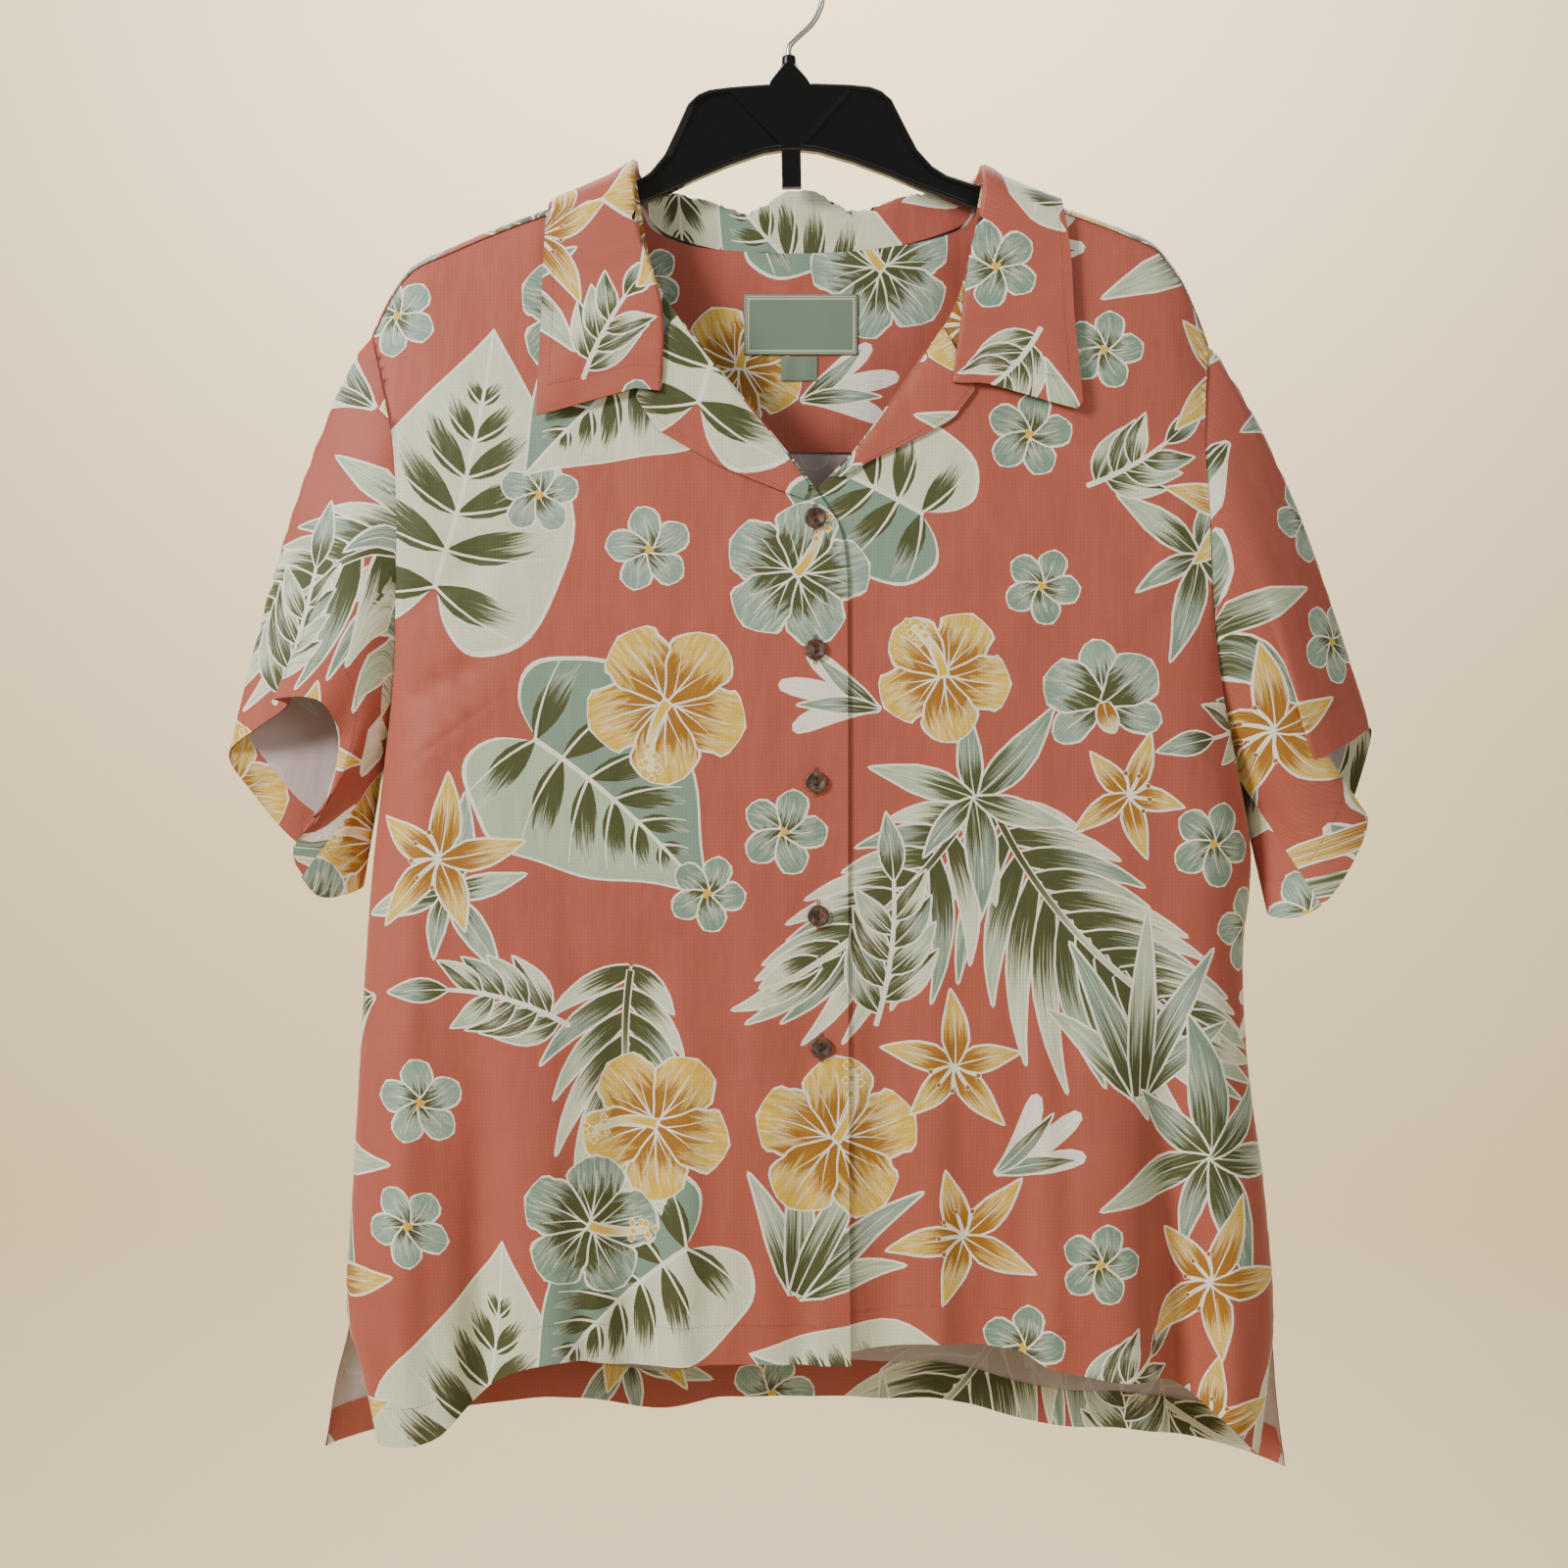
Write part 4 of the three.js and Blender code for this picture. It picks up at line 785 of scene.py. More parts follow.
# %% Leaves and fronds
def plume(x, y, angle, length, bow, ink, wash, fingers=11):
    """A big cut leaf: long fingers swept back along a curved rib, the longest in the middle."""
    rib = bowed(np.array([x, y], float), angle, length, bow, 2 * fingers + 3)
    for k in range(fingers):
        f = k / (fingers - 1)
        heading = angle + bow * f
        reach = length * (0.30 + 0.30 * math.sin(math.pi * (0.12 + 0.8 * f)))
        for way in (1, -1):
            size = reach * (1.0 if way * bow < 0 else 0.74) * (1 - 0.13 * ((k * 2 + (way > 0)) % 3 == 1))
            blade(bowed(rib[2 * k], heading + way * lerp(66, 16, f), size, -way * 30, 9),
                  4.4 + 0.016 * length, "finger",
                  (ink, ink, "mist", "sage")[(k * 3 + (way > 0)) % 4], wash, 0.5, 1.4, 0, 0,
                  k * 7 + int(x) + way)
    blade(rib, 1.8, "stem", "pale", "olive", 0.5, 0.9)


HEART = table("t along out",
              [(0, 0.02, 0), (1, -0.13, 0.09), (2, -0.19, 0.22), (3, -0.10, 0.36), (4, 0.12, 0.45),
                              (5, 0.36, 0.42), (6, 0.60, 0.30), (7, 0.82, 0.13), (8, 1.0, 0)])


def heart_leaf(x, y, angle, size, bow, ink, wash, other=None):
    """A broad leaf with one smooth edge. Brush strokes run out from its rib between pale side ribs."""
    rib = bowed(np.array([x, y], float), angle, size, bow, 15)
    ts = np.linspace(0, 8, 33)
    turn = np.radians(angle + bow * np.maximum(column(HEART, "along", ts), 0))
    walk = column(HEART, "along", ts)
    on_rib = np.stack([np.interp(walk, np.linspace(0, 1, 15), rib[:, c]) for c in (0, 1)], -1)
    on_rib += np.minimum(walk, 0)[:, None] * size * np.stack([np.cos(turn), np.sin(turn)], -1)
    out = (column(HEART, "out", ts) * size)[:, None] * np.stack([-np.sin(turn), np.cos(turn)], -1)
    wavy = (1 + 0.035 * np.sin(ts * 3.1 + x))[:, None]
    for grow, inks in ((0.03, ("cream", "cream")), (0, (ink, other or ink))):
        for way, one in zip((1, -1), inks):
            edge = on_rib + way * out * wavy
            edge = edge + grow * (edge - rib[6])
            SHAPES.append((np.concatenate([edge, rib[13:0:-2]]), rib, size * 0.45, one, one, 0, 5))
    for k, f in enumerate((0.03, 0.18, 0.33, 0.48, 0.63, 0.78)):
        for way in (1, -1):
            heading, start = angle + bow * f, rib[int(f * 14)]
            reach = size * (0.40, 0.44, 0.41, 0.33, 0.23, 0.13)[k]
            lean = (104, 76, 60, 50, 44, 38)[k]
            blade(bowed(start, heading + way * lean, reach, -way * 24, 8),
                  size * (0.066, 0.066, 0.06, 0.052, 0.042, 0.03)[k],
                  "leaf", (ink, other or ink)[way < 0], wash, 0.74, 0, 0, 0, k * 9 + way)
            line = bowed(start, heading + way * (lean + 13), reach * 0.92, -way * 24, 7)
            SHAPES.append((sides(line, np.linspace(1.0, 0.3, 7)), line, 1, "cream", "cream", 0, 0))
    blade(rib, 1.7, "stem", "cream", "cream", 0, 0)


def rosette(x, y, angle, size, ink, wash, leaves=7):
    """Long pointed leaves round one point, of different lengths."""
    for k in range(leaves):
        reach = size * (1, 0.72, 0.9, 0.64, 0.96, 0.8, 0.7)[k % 7]
        blade(bowed(np.array([x, y], float), angle + 360 / leaves * k, reach, (20, -14, 8)[k % 3], 11),
              reach * 0.135, "leaf",
              (ink, ink, "mist")[k % 3], wash, 0.46, 1.6, 0.4, 0, k * 5 + int(y))


def leaf_spray(x, y, angle, length, bow, size, ink, wash, pairs=5):
    stem = bowed(np.array([x, y], float), angle, length, bow, 2 * pairs + 4)
    for k in range(pairs):
        heading = angle + bow * (k + 1) / pairs
        for way in (1, -1):
            reach = size * (1 - 0.07 * k)
            blade(bowed(stem[2 * k + 1 + (way < 0)], heading + way * 46, reach, -way * 22, 8), reach * 0.2,
                  "leaf",
                  ("pale", "mist", ink)[(k + (way > 0)) % 3], wash, 0.4, 1.4, 0.5, 0, k * 3 + int(way),
                  dark=("olive", None, "olive")[(k + (way > 0)) % 3])
    blade(bowed(stem[-1], angle + bow, size * 0.9, 6, 8), size * 0.17, "leaf", ink, wash, 0.5, 1.4, 0.5)
    blade(stem, 1.0, "stem", "cream", None, 0, 0.8)


def tall_grass(x, y, angle, size, ink, wash):
    for k, (lean, part) in enumerate(((-46, 0.62), (34, 0.7), (-26, 0.88), (16, 0.92), (-6, 1.0))):
        blade(bowed(np.array([x, y], float), angle + lean, size * part, lean * 0.5, 11), size * 0.075,
              "finger",
              (ink, "mist", "blue")[k % 3], wash, 0.5, 1.6, 0.5, 0, k * 11)


def bud(x, y, angle, size, ink, wash):
    base = np.array([x, y], float)
    for off in (-20, 22, 0):
        blade(bowed(base, angle + off * 0.8, size * (1 - abs(off) * 0.006), 14 + off, 9), size * 0.085,
              "petal", "cream", "gold",
              0.35, 1.5, 0.4, 0, int(off))
    for off in (-14, 12):
        blade(bowed(base, angle + off, size * 0.8, off, 8), size * 0.08, "leaf", ink, wash, 0.5, 1.3, 0.4, 0,
              int(off))


# %% One repeat of the print, drawn from the back of the pile to its front
REPEAT = np.array([632.0, 596.0])
heart_leaf(118, 548, 150, 122, 14, "sage", "olive", "pale")
heart_leaf(432, 500, 72, 172, 12, "pale", "olive")
heart_leaf(498, 400, -34, 150, -18, "sage", "olive", "mist")
heart_leaf(596, 70, 214, 140, 16, "pale", "olive", "sage")
plume(560, 250, 262, 150, 26, "pale", "olive", 9)
plume(166, 352, 296, 215, 40, "pale", "olive", 12)
plume(146, 350, 236, 170, -30, "pale", "olive", 9)
tall_grass(262, 168, 96, 120, "sage", "olive")
tall_grass(36, 40, 70, 120, "mist", "olive")
rosette(318, 128, 96, 96, "sage", "olive")
rosette(152, 362, 40, 78, "sage", "olive", 6)
rosette(300, 520, 20, 74, "sage", "olive", 6)
rosette(440, 300, 70, 66, "blue", "olive", 6)
leaf_spray(88, 214, 74, 96, 20, 48, "sage", "olive", 4)
leaf_spray(520, 214, 150, 84, 30, 44, "sage", "olive", 4)
leaf_spray(392, 436, 214, 90, -24, 44, "sage", "olive", 4)
leaf_spray(226, 566, 20, 60, 20, 40, "sage", "olive", 3)
bud(90, 420, 160, 66, "sage", "olive")
bud(168, 118, 30, 66, "olive", "sage")
bud(388, 232, 200, 60, "sage", "olive")
hibiscus(62, 140, 20, 50, "gold", "amber")
hibiscus(132, 442, 66, 40, "gold", "amber")
hibiscus(584, 424, 200, 49, "gold", "amber")
hibiscus(576, 150, 130, 46, "gold", "amber")
hibiscus(530, 84, 300, 42, "sage", "olive")
hibiscus(36, 508, 10, 44, "blue", "olive")
star_lily(330, 46, 70, 58, "gold", "amber", 5)
star_lily(436, 322, 78, 56, "gold", "amber", 5)
star_lily(330, 548, 12, 54, "gold", "amber", 5)
orchid(236, 424, 100, 40, "blue", "olive")
plumeria(238, 60, 10, 25, "sage", "olive")
plumeria(404, 84, 50, 26, "blue", "olive")
plumeria(196, 500, 70, 24, "sage", "olive")
plumeria(500, 560, 20, 25, "blue", "olive")
plumeria(610, 300, 0, 24, "sage", "olive")

# %% Filling the widest gaps with small flowers
CELL = 8
cells = np.stack(np.meshgrid(np.arange(4, REPEAT[0], CELL), np.arange(4, REPEAT[1], CELL), indexing="ij"), -1)
covered = np.zeros(cells.shape[:2], bool)


def cover(shapes):
    for polygon, *_ in shapes:
        for i in (-1, 0, 1):
            for j in (-1, 0, 1):
                moved = polygon + REPEAT * (i, j)
                if (moved.max(0) > 0).all() and (moved.min(0) < REPEAT).all():
                    covered[:] |= inside(cells.reshape(-1, 2), moved).reshape(covered.shape)


cover(SHAPES)
for k in range(9):
    reached, rings = covered.copy(), 0
    while not reached.all():
        last, rings = reached, rings + 1
        reached = last | np.roll(last, 1, 0) | np.roll(last, -1, 0) | np.roll(last, 1, 1) | np.roll(last, -1,
                                                                                                    1)
    x, y = cells[tuple(np.argwhere(~last)[0])]
    before = len(SHAPES)
    if k % 3 == 1:
        star_lily(x, y, 40 * k, min(7.0 * rings, 52), "gold", "amber", 5)
    else:
        plumeria(x, y, 50 * k, min(4.6 * rings, 27), ("sage", "", "blue")[k % 3], "olive")
    cover(SHAPES[before:])
print("part of the ground covered:", round(float(covered.mean()), 2))
print("shapes in one repeat:", len(SHAPES), "points:", sum(len(s[0]) for s in SHAPES))

# %% [markdown]
# ## Cutting the print into the cloth
# The flat pattern, the print's outlines and an even net of points go to one constrained Delaunay
# triangulation. It returns triangles that never cross an outline, so each triangle has one ink and every
# edge of the print is sharp. Then every point is carried from the flat pattern to the hanging cloth.


# %% Flat triangles with their inks
def turned_right(loop):
    area = np.sum(loop[:, 0] * np.roll(loop[:, 1], -1) - np.roll(loop[:, 0], -1) * loop[:, 1])
    return loop if area > 0 else loop[::-1]


def loop_of(flat, spacing=5.0):
    """The outline of a flat piece, as evenly spaced points."""
    ring = np.concatenate([flat[:, 0], flat[-1, 1:], flat[-2::-1, -1], flat[0, -2:0:-1]])
    kept = [ring[0]]
    for point in ring[1:]:
        if np.hypot(*(point - kept[-1])) >= spacing:
            kept.append(point)
    return turned_right(np.array(kept))


def cut(flat, shift, net, turn_up, plane, to_plane, least):
    """Triangles of one piece in its plane, the shape that inks each, and the shapes with their moves."""
    loop, flat_loop = loop_of(plane), loop_of(flat)
    low, high = flat_loop.min(0), flat_loop.max(0)
    points, edges, shapes, outlines, count = [], [], [], [], 0

    def draw(line, closed):
        nonlocal count
        points.append(line)
        edges.extend((count + k, count + k + 1) for k in range(len(line) - 1))
        if closed:
            edges.append((count + len(line) - 1, count))
        count += len(line)

    draw(loop, True)
    first = np.floor((low + shift) / REPEAT).astype(int) - 1
    last = np.floor((high + shift) / REPEAT).astype(int) + 1
    for i in range(first[0], last[0] + 1):
        for j in range(first[1], last[1] + 1):
            move = np.array([i, j]) * REPEAT - shift
            for shape in SHAPES:
                polygon = shape[0] + move
                if shape[2] < least or (polygon.max(0) < low).any() or (polygon.min(0) > high).any() or \
                        not inside(polygon, flat_loop).any():
                    continue
                outlines.append(to_plane(polygon))
                shapes.append((shape, move))
                draw(outlines[-1], True)
    for line in turn_up:
        draw(line, False)
    xs, ys = (np.arange(loop[:, c].min(), loop[:, c].max(), net[c]) for c in (0, 1))
    netting = np.stack(np.meshgrid(xs, ys, indexing="ij"), -1)
    netting[:, 1::2, 0] += net[0] / 2
    netting = netting.reshape(-1, 2)
    points.append(netting[inside(netting, loop)])
    vectors = [Vector((float(x), float(y))) for x, y in np.concatenate(points)]
    verts, _, tris, *_ = delaunay_2d_cdt(vectors, edges, [], 0, 1e-4, False)
    verts, tris = np.array([tuple(v) for v in verts]), np.array(tris)
    middles = verts[tris].mean(1)
    kept = inside(middles, loop)
    tris, middles = tris[kept], middles[kept]
    owner = np.zeros(len(tris), int)
    for k, outline in enumerate(outlines):
        near = np.flatnonzero(((middles > outline.min(0)) & (middles < outline.max(0))).all(1))
        owner[near[inside(middles[near], outline)]] = k + 1
    return verts, tris, owner, shapes


# %% From flat to hanging
class Net:
    """A flat net of knots. It finds points of its plane, and reads other values of its knots there."""

    def __init__(self, flat):
        rows, cols = flat.shape[:2]
        index = np.arange(rows * cols).reshape(rows, cols)
        a, b, c, d = index[:-1, :-1], index[1:, :-1], index[1:, 1:], index[:-1, 1:]
        self.flat = flat.reshape(-1, 2)
        self.tris = np.concatenate([np.stack([a, b, c], -1).reshape(-1, 3),
                                    np.stack([a, c, d], -1).reshape(-1, 3)])
        self.tree = BVHTree.FromPolygons([(x, y, 0.0) for x, y in self.flat.tolist()], self.tris.tolist())

    def find(self, points):
        hits = [self.tree.find_nearest((float(x), float(y), 0.0)) for x, y in points]
        at = np.array([tuple(hit[0])[:2] for hit in hits])
        tri = self.tris[[hit[2] for hit in hits]]
        pa, pb, pc = (self.flat[tri[:, k]] for k in range(3))
        cross = lambda u, v: u[:, 0] * v[:, 1] - u[:, 1] * v[:, 0]
        whole = cross(pb - pa, pc - pa)
        whole = np.where(np.abs(whole) < 1e-9, 1e-9, whole)
        wb, wc = np.clip(cross(at - pa, pc - pa) / whole, 0, 1), np.clip(cross(pb - pa, at - pa) / whole, 0,
                                                                         1)
        return tri, np.stack([1 - wb - wc, wb, wc], -1)[..., None]

    def read(self, found, values):
        tri, weights = found
        return (values.reshape(-1, values.shape[-1])[tri] * weights).sum(1)


def grid_normals(grid, outward):
    along, across = np.gradient(grid, axis=0), np.gradient(grid, axis=1)
    normal = np.cross(along, across)
    normal /= np.maximum(np.linalg.norm(normal, axis=-1, keepdims=True), 1e-9)
    if outward is None:
        return normal
    return normal * np.sign(np.sum(normal * outward, -1, keepdims=True).mean() + 1e-12)


# %% [markdown]
# ## Materials of the cloth
# Plain-woven silk with a crepe twist: a soft low sheen, a fine weave that shows as a slight grain, and
# inks that soak in, so the ground and the flowers share one surface. On the flowers a second ink is
# brushed out from the heart of each petal in ragged strokes. The wrong side shows the print faintly, as a
# grey lilac.


# %% Adding a node
def node(tree, kind, inputs=None, **settings):
    made = tree.nodes.new(kind)
    for name, value in settings.items():
        setattr(made, name, value)
    for key, value in (inputs or {}).items():
        socket = made.inputs[key]
        if isinstance(value, bpy.types.NodeSocket):
            tree.links.new(value, socket)
        else:
            socket.default_value = value
    return made


def new_material(name):
    material = bpy.data.materials.new(name)
    material.use_nodes = True
    material.node_tree.nodes.clear()
    return material, material.node_tree


def shade(tree, inputs):
    shader = node(tree, "ShaderNodeBsdfPrincipled", inputs)
    node(tree, "ShaderNodeOutputMaterial", {"Surface": shader.outputs[0]})


# %% Printed silk, right side and wrong side
RIBS = 2.3585  # mm between the ribs of the weave; the real threads are about a tenth of that, too fine to show


def printed_silk(name, wrong_side):
    material, tree = new_material(name)
    ink = node(tree, "ShaderNodeAttribute", attribute_name="ink").outputs["Color"]
    wash = node(tree, "ShaderNodeAttribute", attribute_name="wash")
    stroke = node(tree, "ShaderNodeSeparateXYZ",
                  {0: node(tree, "ShaderNodeAttribute", attribute_name="stroke").outputs["Vector"]}).outputs
    # ragged brush strokes: a noise drawn out along the blade
    along = node(tree, "ShaderNodeMath", {0: stroke[0], 1: 1.6}, operation="MULTIPLY").outputs[0]
    over = node(tree, "ShaderNodeMath", {0: stroke[1], 1: 6.5}, operation="MULTIPLY").outputs[0]
    place = node(tree, "ShaderNodeCombineXYZ", {0: along, 1: over, 2: stroke[2]}).outputs[0]
    bristle = node(tree, "ShaderNodeTexNoise",
                   {"Vector": place, "Scale": 1.0, "Detail": 4.0, "Roughness": 0.65})
    left = node(tree, "ShaderNodeMath", {0: wash.outputs["Alpha"], 1: stroke[0]},
                operation="SUBTRACT").outputs[0]
    ragged = node(tree, "ShaderNodeMath", {0: bristle.outputs[0], 1: 1.5, 2: -0.75},
                  operation="MULTIPLY_ADD").outputs[0]
    edge = node(tree, "ShaderNodeMath", {0: left, 1: ragged}, operation="ADD").outputs[0]
    mask = node(tree, "ShaderNodeMapRange", {"Value": edge, "From Min": -0.06, "From Max": 0.2}).outputs[0]
    # a pale band where the brush ran dry, just outside the dark strokes
    dry = node(tree, "ShaderNodeTexNoise",
               {"Vector": place, "Scale": 1.9, "Detail": 3.0, "Roughness": 0.6}).outputs[0]
    band = node(tree, "ShaderNodeMapRange", {"Value": edge, "From Min": -0.46, "From Max": -0.06}).outputs[0]
    streak = node(tree, "ShaderNodeMapRange",
                  {"Value": dry, "From Min": 0.42, "From Max": 0.66, "To Max": 0.6}).outputs[0]
    brushed = node(tree, "ShaderNodeMath", {0: wash.outputs["Alpha"], 1: 0.01},
                   operation="GREATER_THAN").outputs[0]
    pale = node(tree, "ShaderNodeMath", {0: band, 1: streak}, operation="MULTIPLY").outputs[0]
    pale = node(tree, "ShaderNodeMath", {0: pale, 1: brushed}, operation="MULTIPLY").outputs[0]
    lightened = node(tree, "ShaderNodeMix", {0: pale, 6: ink, 7: colour("F1ECD6")},
                     data_type="RGBA").outputs[2]
    painted = node(tree, "ShaderNodeMix", {0: mask, 6: lightened, 7: wash.outputs["Color"]},
                   data_type="RGBA").outputs[2]
    # each bristle's stroke is a little lighter or darker
    tone = node(tree, "ShaderNodeMapRange", {"Value": bristle.outputs[0], "From Min": 0.3, "From Max": 0.75,
                                             "To Min": 0.82, "To Max": 1.18}).outputs[0]
    uv = node(tree, "ShaderNodeUVMap", uv_map="cloth").outputs[0]
    dye = node(tree, "ShaderNodeTexNoise", {"Vector": uv, "Scale": 38.0, "Detail": 3.0}).outputs[0]
    uneven = node(tree, "ShaderNodeMapRange", {"Value": dye, "To Min": 0.93, "To Max": 1.07}).outputs[0]
    value = node(tree, "ShaderNodeMath", {0: tone, 1: uneven}, operation="MULTIPLY").outputs[0]
    toned = node(tree, "ShaderNodeHueSaturation", {"Value": value, "Color": painted}).outputs[0]
    # the weave: ribs across and along, in metres of flat cloth
    ribs = [node(tree, "ShaderNodeTexWave", {"Vector": uv, "Scale": 2 * math.pi / (20 * RIBS * MM),
                                             "Distortion": 1.4, "Detail": 2.0, "Detail Scale": 1.5},
                 bands_direction=way).outputs["Fac"] for way in ("X", "Y")]
    weave = node(tree, "ShaderNodeMath", {0: ribs[0], 1: ribs[1]}, operation="ADD").outputs[0]
    grain = node(tree, "ShaderNodeMapRange",
                 {"Value": weave, "From Max": 2.0, "To Min": 0.93, "To Max": 1.07}).outputs[0]
    woven = node(tree, "ShaderNodeHueSaturation", {"Value": grain, "Color": toned}).outputs[0]
    if wrong_side:
        base = node(tree, "ShaderNodeMix", {0: 0.16, 6: colour("C6B8B8"), 7: woven},
                    data_type="RGBA").outputs[2]
    else:
        base = woven
    hanging = node(tree, "ShaderNodeMapping", {"Vector": uv, "Scale": (1.0, 0.32, 1.0)}).outputs[0]
    crumple = node(tree, "ShaderNodeTexNoise",
                   {"Vector": hanging, "Scale": 27.0, "Detail": 3.0, "Roughness": 0.45}).outputs[0]
    soft = node(tree, "ShaderNodeBump", {"Height": crumple, "Strength": 0.55, "Distance": 0.007}).outputs[0]
    bump = node(tree, "ShaderNodeBump",
                {"Height": weave, "Strength": 0.25, "Distance": 0.00012, "Normal": soft}).outputs[0]
    shade(tree, {"Base Color": base, "Roughness": 0.62, "Specular IOR Level": 0.32, "Sheen Weight": 0.16,
                 "Sheen Roughness": 0.45, "Normal": bump})
    return material


silk, silk_wrong_side = printed_silk("printed_silk_crepe", False), printed_silk("printed_silk_wrong_side",
                                                                                True)
print("made", silk.name, "and", silk_wrong_side.name)

# %% [markdown]
# ## Making the pieces
# Each piece is a thin shell: its right side carries the print, its wrong side is the same net turned
# over, and a rim closes it. Along a hem the cloth is folded up inside and sewn, so there the wrong side
# stands off a little further and shows the print again.


# %% A printed shell
FACE = 0.3  # mm that the right side stands off the net


def stroke_of(corner, centre, half):
    """Along a blade from 0 to 1, and across it from -1 to 1, for points near its middle line."""
    a, b = centre[:-1], centre[1:]
    d = b - a
    span = np.maximum((d**2).sum(1), 1e-9)
    f = clamp01(((corner[:, None, :] - a) * d).sum(-1) / span)
    away = corner[:, None, :] - (a + f[..., None] * d)
    distance = np.linalg.norm(away, axis=-1)
    k = distance.argmin(1)
    row = np.arange(len(corner))
    sign = np.sign(d[k, 0] * away[row, k, 1] - d[k, 1] * away[row, k, 0])
    return (k + f[row, k]) / len(a), sign * distance[row, k] / max(half, 0.5)


def printed_piece(name, outward, shift, net=(5.5, 9.0), thick=0.7, hem=None, hem_thick=1.5, reach=25.0,
                  creases=(), least=0.0):
    grid, flat = grids[name], flats[name]
    plane, to_plane = flat, lambda polygon: polygon
    if name.startswith("sleeve"):  # cut in a plain rectangle, because the flat sleeve nearly folds at the underarm
        rows, cols = np.meshgrid(np.arange(grid.shape[0]) * 2.9, np.arange(grid.shape[1]) * 3.3,
                                 indexing="ij")
        plane, flat_net = np.stack([rows, cols], -1), Net(flat)
        ways = np.array([1.0 if name == "sleeve_right" else -1.0, -1.0])

        def to_plane(polygon):
            found = flat_net.find(polygon)
            return flat_net.read(found, plane) + (polygon - flat_net.read(found, flat)) * ways
    lines, band = list(creases), None
    if hem is not None:
        # the turn-up's line: as far into the cloth as the turn-up is deep, measured along each column
        columns = range(0, len(grid), 3)
        down = lengths_along(grid[:, ::-1] if hem else grid, 1)
        knots = plane[:, ::-1] if hem else plane
        at = [[np.interp(reach, down[i], knots[i, :, c]) for c in (0, 1)] for i in columns]
        fold = np.array(at)
        lines.append(fold)
        band = turned_right(np.concatenate([knots[::3, 0], fold[::-1]]))
    in_plane, tris, owner, shapes = cut(flat, np.array(shift, float), net, lines, plane, to_plane, least)
    used = np.unique(tris)
    lookup = np.full(len(in_plane), -1)
    lookup[used] = np.arange(len(used))
    in_plane, tris = in_plane[used], lookup[tris]
    plane_net = Net(plane)
    found = plane_net.find(in_plane)
    place, normal, points = (plane_net.read(found, values) for values in (grid, grid_normals(grid, outward),
                                                                          flat))
    normal /= np.maximum(np.linalg.norm(normal, axis=1, keepdims=True), 1e-9)
    # right side out
    a, b, c = place[tris[:, 0]], place[tris[:, 1]], place[tris[:, 2]]
    facing = (np.cross(b - a, c - a) * normal[tris[:, 0]]).sum(1)
    tris = np.where((facing < 0)[:, None], tris[:, ::-1], tris)
    count = len(points)
    hemmed = np.zeros(len(tris), bool)
    inner_off = np.full(count, thick - FACE)
    if band is not None:
        hemmed = inside(in_plane[tris].mean(1), band)
        inner_off[np.unique(tris[hemmed])] = hem_thick - FACE
    outer_place, inner_place = place + normal * FACE, place - normal * inner_off[:, None]
    edges = np.sort(np.concatenate([tris[:, [0, 1]], tris[:, [1, 2]], tris[:, [2, 0]]]), 1)
    directed = np.concatenate([tris[:, [0, 1]], tris[:, [1, 2]], tris[:, [2, 0]]])
    key = edges[:, 0].astype(np.int64) * count + edges[:, 1]
    _, first, times = np.unique(key, return_index=True, return_counts=True)
    rim = directed[first[times == 1]]
    verts = np.concatenate([outer_place, inner_place]) * MM
    rim_tris = np.concatenate([np.stack([rim[:, 1], rim[:, 0], rim[:, 0] + count], -1),
                               np.stack([rim[:, 1], rim[:, 0] + count, rim[:, 1] + count], -1)])
    all_tris = np.concatenate([tris, tris[:, ::-1] + count, rim_tris])
    mesh = bpy.data.meshes.new(name)
    mesh.from_pydata(verts.tolist(), [], all_tris.tolist())
    # inks, brush strokes and the flat map, one value a corner
    n, rims = len(tris), len(rim_tris)
    owner_rows = owner - 1
    inks = np.tile(colour(INK["ground"]), (n, 3, 1)).astype(np.float32)
    washes = np.tile(colour(INK["ground"], 0.0), (n, 3, 1)).astype(np.float32)
    strokes = np.zeros((n, 3, 3), np.float32)
    order = np.argsort(owner_rows, kind="stable")
    bounds = np.searchsorted(owner_rows[order], np.arange(len(shapes) + 1))
    for k, (shape, move) in enumerate(shapes):
        rows = order[bounds[k]:bounds[k + 1]]
        if not len(rows):
            continue
        _, middle, half, ink, wash, far, seed = shape
        inks[rows], washes[rows] = colour(INK[ink]), colour(INK[wash], far)
        if far:
            along, across = stroke_of(points[tris[rows]].reshape(-1, 2), middle + move, half)
            strokes[rows] = np.stack([along, across, np.full_like(along, seed * 1.7)], -1).reshape(-1, 3, 3)
    uv = points[tris] * MM
    ink_rim = np.tile(np.array(colour(INK["ground"]), np.float32), (rims, 3, 1))
    for title, values, filler in (("ink", inks, ink_rim),
                                  ("wash", washes, ink_rim * np.array([1, 1, 1, 0], np.float32))):
        layer = mesh.attributes.new(title, "FLOAT_COLOR", "CORNER")
        layer.data.foreach_set("color", np.concatenate([values, values[:, ::-1], filler]).ravel())
    layer = mesh.attributes.new("stroke", "FLOAT_VECTOR", "CORNER")
    layer.data.foreach_set("vector",
                           np.concatenate([strokes, strokes[:, ::-1],
                                           np.zeros((rims, 3, 3), np.float32)]).ravel())
    map_layer = mesh.uv_layers.new(name="cloth")
    rim_uv = points[np.where(rim_tris >= count, rim_tris - count, rim_tris)] * MM
    map_layer.data.foreach_set("uv", np.concatenate([uv, uv[:, ::-1], rim_uv]).astype(np.float32).ravel())
    mesh.materials.append(silk)
    mesh.materials.append(silk_wrong_side)
    slots = np.concatenate([np.zeros(n, np.int32), np.where(hemmed, 0, 1).astype(np.int32),
                            np.zeros(rims, np.int32)])
